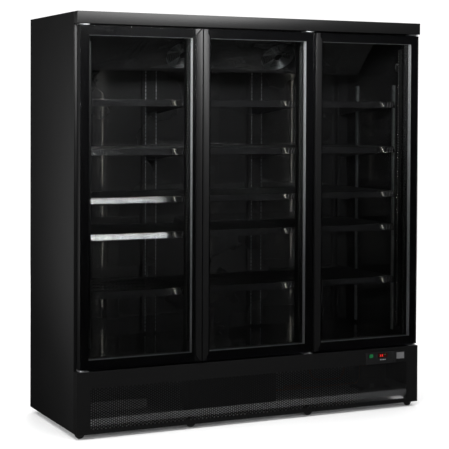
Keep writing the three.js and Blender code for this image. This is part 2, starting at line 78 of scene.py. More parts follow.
class Wire:
    """The output of a node, which can stand in a sum."""

    def __init__(self, tree, socket):
        self.tree = tree
        self.socket = socket

    def other(self, name):
        """Another output of the same node."""
        return Wire(self.tree, self.socket.node.outputs[name])

    def maths(self, operation, first, second):
        node = self.tree.nodes.new("ShaderNodeMath")
        node.operation = operation
        plug(self.tree, node.inputs[0], first)
        plug(self.tree, node.inputs[1], second)
        return Wire(self.tree, node.outputs[0])

    def __add__(self, other):
        return self.maths("ADD", self, other)

    def __sub__(self, other):
        return self.maths("SUBTRACT", self, other)

    def __rsub__(self, other):
        return self.maths("SUBTRACT", other, self)

    def __mul__(self, other):
        return self.maths("MULTIPLY", self, other)

    def __truediv__(self, other):
        return self.maths("DIVIDE", self, other)

    def __mod__(self, other):
        return self.maths("FLOORED_MODULO", self, other)

    def __lt__(self, other):
        return self.maths("LESS_THAN", self, other)

    def __gt__(self, other):
        return self.maths("GREATER_THAN", self, other)

    __radd__ = __add__
    __rmul__ = __mul__


class Tree:
    """A shader or geometry tree that is put together by node type."""

    def __init__(self, tree):
        self.tree = tree

    def node(self, kind, settings=None, sockets=None, output=0):
        """A node with its settings made first, then its sockets filled; gives one output."""
        node = self.tree.nodes.new(kind)
        for key, value in (settings or {}).items():
            if key == "stops":
                set_stops(node.color_ramp, value)
            else:
                setattr(node, key, value)
        for key, value in (sockets or {}).items():
            plug(self.tree, node.inputs[key], value)
        return Wire(self.tree, node.outputs[output]) if node.outputs else node

    def blend(self, share, first, second):
        """A colour between two others."""
        return self.node("ShaderNodeMix", {"data_type": "RGBA"},
                         {0: share, 6: first, 7: second}, output=2)


def set_stops(ramp, stops):
    """Gives a ramp its grey stops as (place, value)."""
    while len(ramp.elements) < len(stops):
        ramp.elements.new(1.0)
    for element, (place, value) in zip(ramp.elements, stops):
        element.position = place
        element.color = (value, value, value, 1)


class Growth(Tree):
    """A geometry tree with named inputs, which ends in realised instances with a finish."""

    def __init__(self, name):
        super().__init__(bpy.data.node_groups.new(name, "GeometryNodeTree"))
        self.tree.interface.new_socket(
            "Geometry", in_out="INPUT", socket_type="NodeSocketGeometry")
        self.tree.interface.new_socket(
            "Geometry", in_out="OUTPUT", socket_type="NodeSocketGeometry")
        self.start = self.tree.nodes.new("NodeGroupInput")
        self.finish = self.input("Finish", "Material")

    def input(self, name, kind, default=None):
        """A named input of the tree."""
        socket = self.tree.interface.new_socket(
            name, in_out="INPUT", socket_type="NodeSocket" + kind)
        if default is not None:
            socket.default_value = default
        return Wire(self.tree, self.start.outputs[name])

    def part(self, wire):
        """The mesh of an object given as an input."""
        return self.node("GeometryNodeObjectInfo", None, {"Object": wire}).other("Geometry")

    def vector(self, **axes):
        """A vector of its axes."""
        return self.node("ShaderNodeCombineXYZ", None, axes)

    def instances(self, points, part, **more):
        """A part on each point."""
        return self.node("GeometryNodeInstanceOnPoints", None,
                         {"Points": points, "Instance": part, **more})

    def joined(self, *wires):
        """Several geometries as one."""
        both = self.tree.nodes.new("GeometryNodeJoinGeometry")
        for wire in wires:
            self.tree.links.new(wire.socket, both.inputs[0])
        return Wire(self.tree, both.outputs[0])

    def close(self, geometry, weld=False):
        """Realises, joins if asked, sets the finish and ends the tree."""
        geometry = self.node("GeometryNodeRealizeInstances", None, {"Geometry": geometry})
        if weld:
            geometry = self.node("GeometryNodeMergeByDistance", None,
                                 {"Geometry": geometry, "Distance": 2e-5})
        geometry = self.node("GeometryNodeSetMaterial", None,
                             {"Geometry": geometry, "Material": self.finish})
        end = self.tree.nodes.new("NodeGroupOutput")
        plug(self.tree, end.inputs[0], geometry)
        return self.tree


def grid_places(tree):
    """Inputs and places of parts in rows: columns along X, rows along Y, each second column shifted."""
    columns = tree.input("Columns", "Int", 2)
    rows = tree.input("Rows", "Int", 1)
    pitch_x = tree.input("Column Pitch", "Float", 0.01)
    pitch_y = tree.input("Row Pitch", "Float", 0.01)
    shift = tree.input("Shift", "Float", 0.0)
    index = tree.node("GeometryNodeInputIndex")
    row = index % rows
    column = (index - row) / rows
    x = (column - (columns - 1) * 0.5) * pitch_x
    y = (row - (rows - 1) * 0.5) * pitch_y + (column % 2) * shift
    place = tree.vector(X=x, Y=y)
    points = tree.node("GeometryNodePoints", None, {"Count": columns * rows, "Position": place})
    edge = (column < 0.5) + (column > columns - 1.5) + (row < 0.5) + (row > rows - 1.5)
    return points, edge > 0.5


def rows_tree():
    """One part repeated in rows and columns."""
    tree = Growth("parts_in_rows")
    part = tree.part(tree.input("Part", "Object"))
    points, _ = grid_places(tree)
    return tree.close(tree.instances(points, part), weld=True)


def perforation_tree():
    """Tiles with a hole in staggered rows, with a border of blank tiles."""
    tree = Growth("perforated_sheet")
    tile = tree.part(tree.input("Tile", "Object"))
    blank = tree.part(tree.input("Blank", "Object"))
    points, edge = grid_places(tree)
    holed = tree.instances(points, tile, Selection=edge < 0.5)
    plain = tree.instances(points, blank, Selection=edge)
    return tree.close(tree.joined(holed, plain), weld=True)


def points_tree():
    """One part on each point, turned the same way, such as the screws of one face."""
    tree = Growth("parts_on_points")
    part = tree.part(tree.input("Part", "Object"))
    turn = tree.input("Turn", "Vector")
    points = Wire(tree.tree, tree.start.outputs["Geometry"])
    return tree.close(tree.instances(points, part, Rotation=turn))


def circle_tree():
    """One part repeated about the Z axis."""
    tree = Growth("parts_in_a_circle")
    part = tree.part(tree.input("Part", "Object"))
    count = tree.input("Count", "Int", 5)
    index = tree.node("GeometryNodeInputIndex")
    turn = tree.vector(Z=index * (2 * pi) / count)
    points = tree.node("GeometryNodePoints", None, {"Count": count})
    return tree.close(tree.instances(points, part, Rotation=turn))


def guard_tree():
    """A round wire guard: rings at an even pitch, and spokes across them."""
    tree = Growth("wire_guard")
    rings = tree.input("Rings", "Int", 6)
    first = tree.input("First Radius", "Float", 0.02)
    pitch = tree.input("Ring Pitch", "Float", 0.01)
    spokes = tree.input("Spokes", "Int", 4)
    wire = tree.input("Wire Radius", "Float", 0.001)
    index = tree.node("GeometryNodeInputIndex")
    circle = tree.node("GeometryNodeCurvePrimitiveCircle", None, {"Resolution": 40, "Radius": 1.0})
    centres = tree.node("GeometryNodePoints", None, {"Count": rings})
    radius = first + index * pitch
    circles = tree.instances(centres, circle, Scale=tree.vector(X=radius, Y=radius, Z=1.0))
    outer = tree.vector(X=first + (rings - 1) * pitch)
    inner = tree.vector(X=first)
    line = tree.node("GeometryNodeCurvePrimitiveLine", None, {"Start": inner, "End": outer})
    hubs = tree.node("GeometryNodePoints", None, {"Count": spokes})
    lines = tree.instances(hubs, line, Rotation=tree.vector(Z=(index + 0.5) * (2 * pi) / spokes))
    lines = tree.node("GeometryNodeTransform", None, {
        "Geometry": lines, "Translation": tree.vector(Z=wire * 1.6)})
    paths = tree.node("GeometryNodeRealizeInstances", None, {"Geometry": tree.joined(circles, lines)})
    section = tree.node("GeometryNodeCurvePrimitiveCircle", None,
                        {"Resolution": 6, "Radius": wire})
    tubes = tree.node("GeometryNodeCurveToMesh", None,
                      {"Curve": paths, "Profile Curve": section, "Fill Caps": True})
    return tree.close(tubes)


TREES = {}


def growth(build):
    """The tree that a function builds, made once."""
    if build.__name__ not in TREES:
        TREES[build.__name__] = build()
    return TREES[build.__name__]


def grown(build, values, points=()):
    """The plain mesh that a tree gives with these inputs, on these points."""
    group = growth(build)
    mesh = bpy.data.meshes.new("growing")
    mesh.from_pydata([tuple(point) for point in points], [], [])
    holder = bpy.data.objects.new("growing", mesh)
    bpy.context.scene.collection.objects.link(holder)
    modifier = holder.modifiers.new("growth", "NODES")
    modifier.node_group = group
    sockets = {item.name: item.identifier for item in group.interface.items_tree
               if item.in_out == "INPUT"}
    for name, value in values.items():
        modifier[sockets[name]] = value
    result = evaluated(holder)
    bpy.data.objects.remove(holder)
    return result


def evaluated(source):
    """A plain mesh of an object with its modifiers worked out."""
    bpy.context.view_layer.update()
    depsgraph = bpy.context.evaluated_depsgraph_get()
    return bpy.data.meshes.new_from_object(
        source.evaluated_get(depsgraph), preserve_all_data_layers=True, depsgraph=depsgraph)


# ---- Meshes ------------------------------------------------------------------------------------

def around(sides):
    """The cosine and sine of each of a number of even turns."""
    return [(cos(a), sin(a)) for a in (2 * pi * i / sides for i in range(sides))]


class Shape:
    """A mesh under construction, in metres, already in its place."""

    def __init__(self):
        self.bm = bmesh.new()

    def skin(self, rings, slot=0, loop=False):
        """Joins rings of places, each closed on itself, into one closed body."""
        rings = [[self.bm.verts.new(place) for place in ring] for ring in rings]
        faces = []
        pairs = list(zip(rings, rings[1:])) + ([(rings[-1], rings[0])] if loop else [])
        for low, high in pairs:
            for i in range(len(low)):
                k = (i + 1) % len(low)
                faces.append(self.bm.faces.new((low[i], low[k], high[k], high[i])))
        if not loop:
            faces.append(self.bm.faces.new(rings[0]))
            faces.append(self.bm.faces.new(rings[-1]))
        for face in faces:
            face.material_index = slot
        return faces

    def box(self, x, y, z, slot=0):
        """A box between two values on each axis, in either order."""
        (x0, x1), (y0, y1), (z0, z1) = sorted(x), sorted(y), sorted(z)
        return self.skin([[(x0, y0, h), (x1, y0, h), (x1, y1, h), (x0, y1, h)] for h in (z0, z1)],
                         slot)

    def prism(self, axis, outline, start, end):
        """An outline of (first, second) other axes in X, Y, Z order, pulled along an axis."""
        order = {"x": lambda a, b, c: (c, a, b), "y": lambda a, b, c: (a, c, b),
                 "z": lambda a, b, c: (a, b, c)}[axis]
        return self.skin([[order(a, b, c) for a, b in outline] for c in (start, end)])

    def turned(self, profile, centre, axis=(0, 0, 1), sides=24, slot=0, loop=False):
        """A profile of (radius, height) turned about an axis."""
        turn = Vector((0, 0, 1)).rotation_difference(Vector(axis)).to_matrix()
        centre = Vector(centre)
        rings = [[centre + turn @ Vector((r * c, r * s, h)) for c, s in around(sides)]
                 for r, h in profile]
        return self.skin(rings, slot, loop=loop)

    def tube(self, path, radius, sides=10, slot=0):
        """A round tube along a path of places."""
        path = [Vector(place) for place in path]
        along = (path[1] - path[0]).normalized()
        side = along.orthogonal().normalized()
        rings = []
        for i, place in enumerate(path):
            ahead = (path[min(i + 1, len(path) - 1)] - path[max(i - 1, 0)]).normalized()
            side = (along.rotation_difference(ahead) @ side).normalized()
            along = ahead
            up = along.cross(side)
            rings.append([place + radius * (c * side + s * up) for c, s in around(sides)])
        return self.skin(rings, slot)

    def border(self, section, x, z):
        """A section of (inset, y) taken round a rectangle, mitred at its corners."""
        (x0, x1), (z0, z1) = sorted(x), sorted(z)
        corners = ((x0, z0, 1, 1), (x1, z0, -1, 1), (x1, z1, -1, -1), (x0, z1, 1, -1))
        rings = [[(cx + sx * inset, y, cz + sz * inset) for inset, y in section]
                 for cx, cz, sx, sz in corners]
        return self.skin(rings, loop=True)

    def plate(self, xs, zs, y, holes=(), rim=True):
        """A sheet across Y on a grid of lines, without the cells that are holes."""
        cells = {(i, k) for i in range(len(xs) - 1) for k in range(len(zs) - 1)} - set(holes)
        verts = {}

        def vert(i, k, side):
            key = (i, k, side)
            if key not in verts:
                verts[key] = self.bm.verts.new((xs[i], y[side], zs[k]))
            return verts[key]

        def face(*keys):
            self.bm.faces.new([vert(*key) for key in keys])

        for i, k in sorted(cells):
            face((i, k, 0), (i + 1, k, 0), (i + 1, k + 1, 0), (i, k + 1, 0))
            face((i, k, 1), (i, k + 1, 1), (i + 1, k + 1, 1), (i + 1, k, 1))
            walls = (((i - 1, k), (i, k), (i, k + 1)), ((i + 1, k), (i + 1, k), (i + 1, k + 1)),
                     ((i, k - 1), (i, k), (i + 1, k)), ((i, k + 1), (i, k + 1), (i + 1, k + 1)))
            for beyond, a, b in walls:
                if beyond in cells or (not rim and beyond not in holes):
                    continue
                face((*a, 0), (*b, 0), (*b, 1), (*a, 1))

    def close_rim(self, y):
        """Closes the open edge of a thin sheet between its two faces across Y."""
        open_edges = [edge for edge in self.bm.edges if edge.is_boundary]
        back = {}
        for edge in open_edges:
            for vert in edge.verts:
                if abs(vert.co.y - y[1]) < 1e-5:
                    back[round(vert.co.x * 1e5), round(vert.co.z * 1e5)] = vert
        for edge in open_edges:
            a, b = edge.verts
            if abs(a.co.y - y[0]) < 1e-5 and abs(b.co.y - y[0]) < 1e-5:
                twins = [back.get((round(v.co.x * 1e5), round(v.co.z * 1e5))) for v in (b, a)]
                if None not in twins:
                    self.bm.faces.new((a, b, *twins))

    def take(self, mesh, matrix=None):
        """Adds a mesh, moved by a matrix, and lets go of it."""
        if matrix is not None:
            mesh.transform(matrix)
        self.bm.from_mesh(mesh)
        bpy.data.meshes.remove(mesh)

    def mesh(self, name, tidy=True):
        """The finished mesh, with its faces outwards."""
        if tidy:
            bmesh.ops.recalc_face_normals(self.bm, faces=self.bm.faces[:])
        mesh = bpy.data.meshes.new(name)
        self.bm.to_mesh(mesh)
        self.bm.free()
        return mesh


def made(name, mesh, finishes, crease=35):
    """An object of a mesh, with its finishes and its smooth shading."""
    piece = bpy.data.objects.new(name, mesh)
    bpy.context.scene.collection.objects.link(piece)
    mesh.materials.clear()
    for each in finishes:
        mesh.materials.append(finish(each))
    if crease:
        mesh.shade_smooth()
        mesh.set_sharp_from_angle(angle=radians(crease))
    else:
        mesh.shade_flat()
    return piece


def settled(piece):
    """Works a piece's modifiers into its mesh."""
    mesh = evaluated(piece)
    old = piece.data
    piece.modifiers.clear()
    piece.data = mesh
    bpy.data.meshes.remove(old)
    return piece


def rounded(piece, width, segments=2, limit=40):
    """Rounds a piece's hard edges."""
    piece.data.shade_smooth()
    bevel = piece.modifiers.new("rounding", "BEVEL")
    bevel.width = width
    bevel.segments = segments
    bevel.limit_method = "ANGLE"
    bevel.angle_limit = radians(limit)
    bevel.harden_normals = True
    bevel.use_clamp_overlap = True
    return settled(piece)


def attach(piece, body, nodes=()):
    """Puts a piece on its body and hides the frame parts it stands for."""
    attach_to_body(piece, body)
    if nodes:
        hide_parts(*nodes)
    return piece


def fitted(name, shape, finishes, crease=35, body=CABINET, nodes=()):
    """A piece of a shape, finished and on its body."""
    return attach(made(name, shape.mesh(name), finishes, crease), body, nodes)


def flats(node):
    """A frame part as a shape with its loose triangles joined into flats."""
    shape = Shape()
    shape.bm.from_mesh(frame["nodes"][node].data)
    bmesh.ops.remove_doubles(shape.bm, verts=shape.bm.verts[:], dist=1e-5)
    bmesh.ops.dissolve_limit(shape.bm, angle_limit=radians(0.5), verts=shape.bm.verts[:],
                             edges=shape.bm.edges[:])
    for face in shape.bm.faces:
        face.material_index = 0
    return shape


def carved(piece, cutter):
    """Cuts a shape out of a piece."""
    tool = made("cutter", cutter.mesh("cutter"), (), crease=0)
    knife = piece.modifiers.new("cut", "BOOLEAN")
    knife.operation = "DIFFERENCE"
    knife.solver = "EXACT"
    knife.object = tool
    settled(piece)
    bpy.data.objects.remove(tool)
    return piece


def softened(node, finishes, body=CABINET, width=0.001, paint=None, cutter=None, segments=2):
    """A frame part copied with rounded edges, which stands for it."""
    shape = flats(node)
    if paint:
        for face in shape.bm.faces:
            face.material_index = paint(face)
    piece = made(node + "_body", shape.mesh(node, tidy=False), finishes, crease=0)
    if cutter:
        carved(piece, cutter)
    rounded(piece, width, segments)
    return attach(piece, body, (node,))


def loose(shape, tidy=True):
    """An object that only serves as the part of a growth."""
    piece = bpy.data.objects.new("part", shape.mesh("part", tidy))
    bpy.context.scene.collection.objects.link(piece)
    return piece


def repeated(build, part, values, points=()):
    """A grown mesh whose part is made only for it."""
    parts = part if isinstance(part, dict) else {"Part": part}
    mesh = grown(build, {**values, **parts}, points)
    for each in parts.values():
        bpy.data.objects.remove(each)
    return mesh


def in_rows(part, columns, pitch_x, rows=1, pitch_y=0.01):
    """A part in rows and columns about the origin, along X and Y."""
    return repeated(rows_tree, part, {
        "Columns": columns, "Rows": rows, "Column Pitch": pitch_x, "Row Pitch": pitch_y})


def screw_head(radius):
    """A pan head screw with a driver socket, which faces along Z."""
    shape = Shape()
    height = radius * 0.45
    shape.turned([(radius, 0), (radius, height * 0.4), (radius * 0.8, height * 0.85),
                  (radius * 0.42, height), (radius * 0.34, height * 0.5)], (0, 0, 0), sides=12)
    return loose(shape)


def screws(name, points, facing, radius):
    """Screw heads on one face."""
    turn = Vector((0, 0, 1)).rotation_difference(Vector(facing)).to_euler()
    mesh = repeated(points_tree, screw_head(radius), {"Turn": tuple(turn)}, points)
    return attach(made(name, mesh, ("zinc",)), CABINET)


# ---- Finishes ----------------------------------------------------------------------------------

class Finish(Tree):
    """A material with one main shader, whose patterns follow the object's own coordinates."""

    def __init__(self, name, **constants):
        self.material = bpy.data.materials.new(name)
        self.material.use_nodes = True
        super().__init__(self.material.node_tree)
        self.tree.nodes.clear()
        self.shader = self.tree.nodes.new("ShaderNodeBsdfPrincipled")
        self.end = self.tree.nodes.new("ShaderNodeOutputMaterial")
        self.tree.links.new(self.shader.outputs[0], self.end.inputs[0])
        for key, value in constants.items():
            self.set(key.replace("_", " "), value)
        self.place = self.node("ShaderNodeTexCoord", output="Object")

    def set(self, socket, value):
        """Gives the main shader a value or a pattern."""
        plug(self.tree, self.shader.inputs[socket], value)

    def noise(self, scale, detail=2.0, stretch=(1, 1, 1)):
        """Soft noise from 0 to 1, in repeats a metre."""
        place = self.node("ShaderNodeMapping", None, {"Vector": self.place, "Scale": stretch})
        return self.node("ShaderNodeTexNoise", None, {
            "Vector": place, "Scale": scale, "Detail": detail, "Roughness": 0.5})

    def cells(self, scale, output="Distance"):
        """A cell pattern."""
        return self.node("ShaderNodeTexVoronoi", None, {
            "Vector": self.place, "Scale": scale}, output=output)

    def clouded(self, low, high, scale=3.0, detail=3.0, stretch=(1, 1, 1)):
        """A colour that drifts slowly between two others."""
        colour = self.blend(self.noise(scale, detail, stretch), (*low, 1), (*high, 1))
        self.set("Base Color", colour)
        return colour

    def rough(self, spread, least, scale, detail=2.0):
        """Roughness that wanders up from its least value."""
        self.set("Roughness", self.noise(scale, detail) * spread + least)

    def relief(self, depth, strength, scale, detail=2.0):
        """Bump from soft noise."""
        self.bump(self.noise(scale, detail), depth, strength)

    def bump(self, height, depth, strength):
        """Surface relief, its depth in metres."""
        normal = self.node("ShaderNodeBump", None, {
            "Height": height, "Distance": depth, "Strength": strength}, output="Normal")
        self.set("Normal", normal)


def shade(colour, share):
    return [min(1.0, part * share) for part in colour]


def powder_coat(name, colour, gloss, grain=700, depth=0.00012):
    """Stoved paint: a faint orange peel, slow changes of gloss and a little handling dust."""
    paint = Finish(name, IOR=1.5)
    dust = paint.noise(1.3, 5.0)
    paint.set("Base Color", paint.blend(dust, (*shade(colour, 0.8), 1), (*shade(colour, 1.25), 1)))
    peel = paint.noise(grain, 1.5)
    paint.set("Roughness", (paint.noise(4.0, 4.0) - 0.5) * 0.1 + peel * 0.04 + gloss)
    paint.bump(peel, depth, 0.35)
    return paint.material


def casing_paint():
    look = colours()
    return powder_coat("casing_paint", look.paint, look.paint_gloss)


def door_paint():
    look = colours()
    return powder_coat("door_paint", look.paint, look.paint_gloss - 0.04, grain=900)


def liner_coat():
    """Coated sheet with a clear top coat that mirrors the lights inside."""
    look = colours()
    sheet = powder_coat("liner_coat", look.liner, look.liner_gloss, grain=260, depth=0.00004)
    shader = sheet.node_tree.nodes["Principled BSDF"]
    shader.inputs["Coat Weight"].default_value = 1.0
    shader.inputs["Coat Roughness"].default_value = 0.03
    return sheet


def shelf_coat():
    look = colours()
    coat = Finish("shelf_coat")
    coat.clouded(shade(look.wire, 0.8), shade(look.wire, 1.3), scale=20)
    coat.rough(0.14, 0.26, 160, 2.0)
    coat.relief(0.0002, 0.3, 420, 1.0)
    return coat.material


def zinc():
    plating = Finish("zinc_plate", Metallic=0.9)
    spangle = plating.cells(150, output="Color")
    grey = plating.node("ShaderNodeSeparateColor", None, {"Color": spangle})
    plating.set("Base Color", plating.blend(grey, (0.40, 0.41, 0.42, 1), (0.62, 0.63, 0.65, 1)))
    plating.set("Roughness", grey * 0.16 + plating.noise(40, 3.0) * 0.1 + 0.24)
    plating.relief(0.0001, 0.2, 600, 2.0)
    return plating.material


def tray_zinc():
    """Dull galvanised sheet."""
    sheet = Finish("tray_zinc", Metallic=0.25)
    grey = sheet.node("ShaderNodeSeparateColor", None, {"Color": sheet.cells(90, output="Color")})
    sheet.set("Base Color", sheet.blend(grey, (0.30, 0.31, 0.32, 1), (0.44, 0.45, 0.46, 1)))
    sheet.set("Roughness", grey * 0.14 + sheet.noise(30, 3.0) * 0.1 + 0.4)
    sheet.relief(0.0001, 0.2, 500, 2.0)
    return sheet.material


def rolled_aluminium(name, low, high, rough):
    metal = Finish(name, Metallic=1.0)
    metal.clouded(low, high, scale=30, detail=4, stretch=(1, 1, 12))
    metal.set("Roughness", metal.noise(90, 3.0, (1, 1, 20)) * 0.14 + rough)
    metal.bump(metal.noise(900, 1.0, (1, 1, 10)), 0.00005, 0.3)
    return metal.material


def spacer_bar():
    """Bright spacer with fine breathing holes down its middle, their dots darkened with painted shade."""
    metal = Finish("spacer_bar", Metallic=0.3)
    dots = metal.cells(420)
    hole = dots < 0.16
    # The hole dots are blended toward dark grey: painted shade for the depth of each hole, over a shallow
    # bump.
    metal.set("Base Color", metal.blend(hole * 0.7, (0.72, 0.73, 0.74, 1), (0.1, 0.1, 0.1, 1)))
    metal.rough(0.1, 0.26, 60, 2.0)
    metal.bump(1 - hole, 0.0002, 0.4)
    return metal.material


def fins():
    return rolled_aluminium("fin_stock", (0.34, 0.35, 0.36), (0.52, 0.53, 0.54), 0.32)


def pipe_copper():
    copper = Finish("pipe_copper", Metallic=1.0)
    copper.clouded((0.42, 0.17, 0.09), (0.70, 0.33, 0.20), scale=18, detail=5)
    copper.rough(0.25, 0.25, 50, 4.0)
    copper.relief(0.0001, 0.2, 300, 2.0)
    return copper.material


def enamel():
    coat = Finish("compressor_enamel", Coat_Weight=0.3, Coat_Roughness=0.2)
    coat.clouded((0.010, 0.010, 0.011), (0.020, 0.020, 0.021), scale=9, detail=4)
    coat.rough(0.2, 0.28, 30, 4.0)
    coat.relief(0.0003, 0.3, 180, 2.0)
    return coat.material


def moulded(name, colour, rough, grain=1400, depth=0.00015):
    """Moulded plastic with a fine spark-eroded grain."""
    plastic = Finish(name, IOR=1.47)
    plastic.clouded(shade(colour, 0.88), shade(colour, 1.1), scale=14, detail=3)
    texture = plastic.noise(grain, 1.0)
    plastic.set("Roughness", texture * 0.1 + plastic.noise(12, 3.0) * 0.08 + rough)
    plastic.bump(texture, depth, 0.4)
    return plastic.material


def rubber(name, level):
    body = Finish(name, Specular_IOR_Level=0.35)
    body.clouded((level * 0.8,) * 3, (level * 1.5,) * 3, scale=25, detail=4)
    body.rough(0.15, 0.62, 200, 2.0)
    body.relief(0.00015, 0.4, 1100, 1.5)
    return body.material


def door_glass():
    """Clear float glass: what lies behind shows through, under a mirror that grows at a slant."""
    look = colours()
    glass = Finish("door_glass", Metallic=1.0, Roughness=0.0)
    glass.clouded((0.97, 0.98, 0.98), (1.0, 1.0, 1.0), scale=3)
    glass.bump(glass.noise(5.0, 1.0, (1, 1, 0.35)), 0.0004, 0.05)
    through = glass.node("ShaderNodeBsdfTransparent", None, {"Color": (*look.glass, 1)})
    slant = glass.node("ShaderNodeFresnel", None, {"IOR": 1.46})
    both = glass.node("ShaderNodeMixShader", None, {
        0: slant, 1: through, 2: Wire(glass.tree, glass.shader.outputs[0])})
    glass.tree.links.new(both.socket, glass.end.inputs[0])
    return glass.material


def glass_print():
    """Black ceramic border fired on the back of the glass."""
    fired = Finish("glass_print", IOR=1.5, Specular_IOR_Level=0.05)
    fired.clouded((0.0028, 0.0028, 0.003), (0.0046, 0.0046, 0.005), scale=12, detail=4)
    fired.rough(0.1, 0.12, 300, 2.0)
    fired.relief(0.00005, 0.2, 900, 1.0)
    return fired.material


def rail_plastic():
    """Glossy extruded rail, with faint draw lines along it."""
    look = colours()
    rail = Finish("rail_plastic", IOR=1.8, Coat_Weight=1.0, Coat_Roughness=0.03)
    rail.clouded(shade(look.rail, 0.8), shade(look.rail, 1.2), scale=7, detail=3)
    lines = rail.noise(60, 1.0, (0.05, 1, 8))
    rail.set("Roughness", lines * 0.04 + 0.03)
    rail.bump(lines, 0.00005, 0.15)
    return rail.material


def clear_clip():
    clip = Finish("clear_clip", IOR=1.49, Coat_Weight=1.0, Coat_Roughness=0.02)
    clip.clouded((0.10, 0.10, 0.105), (0.20, 0.20, 0.21), scale=60, detail=2)
    clip.rough(0.06, 0.06, 90, 2.0)
    return clip.material


def light_chip():
    chip = Finish("light_chip", IOR=1.45, Emission_Strength=30.0)
    glow = chip.clouded((0.90, 0.86, 0.74), (1.0, 0.97, 0.88), scale=400)
    chip.set("Emission Color", glow)
    chip.rough(0.2, 0.2, 500, 1.0)
    return chip.material


def glowing(name, low, high, scale, rough, strength):
    """A small lit part."""
    part = Finish(name, Roughness=rough, Emission_Strength=strength)
    part.set("Emission Color", part.clouded(low, high, scale, 1.0))
    return part.material


def display_digit():
    digits = colours().digits
    return glowing("display_digit", shade(digits, 0.8), digits, 500, 0.35, 1.7)


def red_window():
    pane = Finish("red_window", IOR=1.49, Coat_Weight=1.0, Coat_Roughness=0.02)
    pane.clouded((0.016, 0.002, 0.002), (0.026, 0.004, 0.004), scale=80)
    pane.rough(0.06, 0.08, 200, 1.0)
    return pane.material


def floor_paper():
    paper = Finish("studio_paper", Roughness=0.9, Specular_IOR_Level=0.0)
    paper.clouded((0.90, 0.90, 0.90), (0.94, 0.94, 0.94), scale=1.5)
    return paper.material


FINISHES = {
    "casing": casing_paint,
    "door": door_paint,
    "liner": liner_coat,
    "wire": shelf_coat,
    "zinc": zinc,
    "tray": tray_zinc,
    "fins": fins,
    "spacer": spacer_bar,
    "copper": pipe_copper,
    "enamel": enamel,
    "plastic": lambda: moulded("black_moulding", (0.007, 0.007, 0.0075), 0.38),
    "grey_plastic": lambda: moulded("grey_moulding", (0.20, 0.20, 0.205), 0.36),
    "white_plastic": lambda: moulded("pale_moulding", (0.62, 0.62, 0.60), 0.4),
    "green": lambda: moulded(
        "rocker_green", colours().rocker, 0.22, depth=0.00005),
    "label": lambda: moulded("blank_label", (0.09, 0.09, 0.093), 0.5, grain=300),
    "gasket": lambda: rubber("gasket_rubber", 0.010),
    "tyre": lambda: rubber("tyre_rubber", 0.016),
    "glass": door_glass,
    "print": glass_print,
    "rail": rail_plastic,
    "clip": clear_clip,
    "chip": light_chip,
    "digit": display_digit,
    "tell_tale": lambda: glowing("tell_tale", (0.0, 0.42, 0.12), (0.02, 0.55, 0.18), 700, 0.3, 0.8),
    "window": red_window,
    "paper": floor_paper,
}
MADE = {}


def finish(name):
    """A finish by name, made when it is first asked for."""
    if name not in MADE:
        MADE[name] = FINISHES[name]()
    return MADE[name]


def coat_frame_part(node, name):
    """Gives a frame part that stays its finish."""
    for place in frame["nodes"][node].material_slots:
        place.material = finish(name)


# ---- What a user may change --------------------------------------------------------------------

def length(name, description, default):
    return FloatProperty(name=name, description=description, default=default, min=0.0001,
                         subtype="DISTANCE", unit="LENGTH")


def colour(name, description, default):
    return FloatVectorProperty(name=name, description=description, default=default,
                               subtype="COLOR", min=0.0, max=1.0)


class MerchandiserSizes(bpy.types.PropertyGroup):
    """Sizes of the parts that the frame leaves plain"""

    edge: length("Edge Radius", "Radius of the folded edges of the casing", 0.0016)
    hole: length("Grille Hole", "Diameter of a hole in the base grille", 0.0078)
    hole_pitch: length("Hole Pitch", "Distance between neighbouring holes in the grille", 0.012)
    wire: length("Deck Wire", "Diameter of the wires of a shelf deck", 0.0042)
    wire_pitch: length("Wire Pitch", "Distance between the wires of a shelf deck", 0.0205)
    bar: length("Cross Bar", "Diameter of the bars under a shelf deck", 0.006)
    slot_pitch: length("Slot Pitch", "Distance between the shelf slots of an upright", 0.0196)
    chip_pitch: length("Lamp Pitch", "Distance between the chips of a light strip", 0.0136)
    guard_pitch: length("Guard Pitch", "Distance between the rings of a fan guard", 0.0092)
    fin_pitch: length("Fin Pitch", "Distance between the fins of the coils", 0.005)
    screw: length("Screw Head", "Radius of a screw head", 0.0042)
    print_top: length("Top Border", "Width of the printed border at the top of a door", 0.0436)
    print_foot: length("Foot Border", "Width of the printed border at the foot of a door", 0.0436)
    print_hinge: length("Hinge Border", "Width of the printed border by the hinges", 0.0436)
    print_handle: length("Handle Border", "Width of the printed border by the handle", 0.0136)
    blades: IntProperty(name="Fan Blades", description="Blades of a fan", default=5, min=2, max=9)


class MerchandiserColours(bpy.types.PropertyGroup):
    """Colours and gloss of the finishes"""

    paint: colour("Paint", "Paint of the casing and the doors", (0.0042, 0.0042, 0.0044))
    liner: colour("Liner", "Coating inside the cabinet", (0.028, 0.028, 0.029))
    wire: colour("Deck Coating", "Coating of the shelf wires", (0.017, 0.017, 0.018))
    rail: colour("Price Rail", "Plastic of the price rails", (0.020, 0.020, 0.021))
    glass: colour("Glass Tint", "Tint of the door glass", (0.986, 0.988, 0.988))
    rocker: colour("Rocker", "Plastic of the mains rocker", (0.003, 0.10, 0.028))
    digits: colour("Digits", "Light of the temperature display", (0.9, 0.03, 0.02))
    paint_gloss: FloatProperty(name="Paint Roughness", description="Roughness of the paint",
                               default=0.42, min=0.05, max=1.0, subtype="FACTOR")
    liner_gloss: FloatProperty(name="Liner Roughness", description="Roughness of the liner",
                               default=0.2, min=0.05, max=1.0, subtype="FACTOR")


def sizes():
    return bpy.context.scene.merchandiser_sizes


def colours():
    return bpy.context.scene.merchandiser_colours


def row_of(start, end, count):
    """Evenly spaced values, both ends included."""
    return [start + (end - start) * i / (count - 1) for i in range(count)]


# ---- Stage -------------------------------------------------------------------------------------

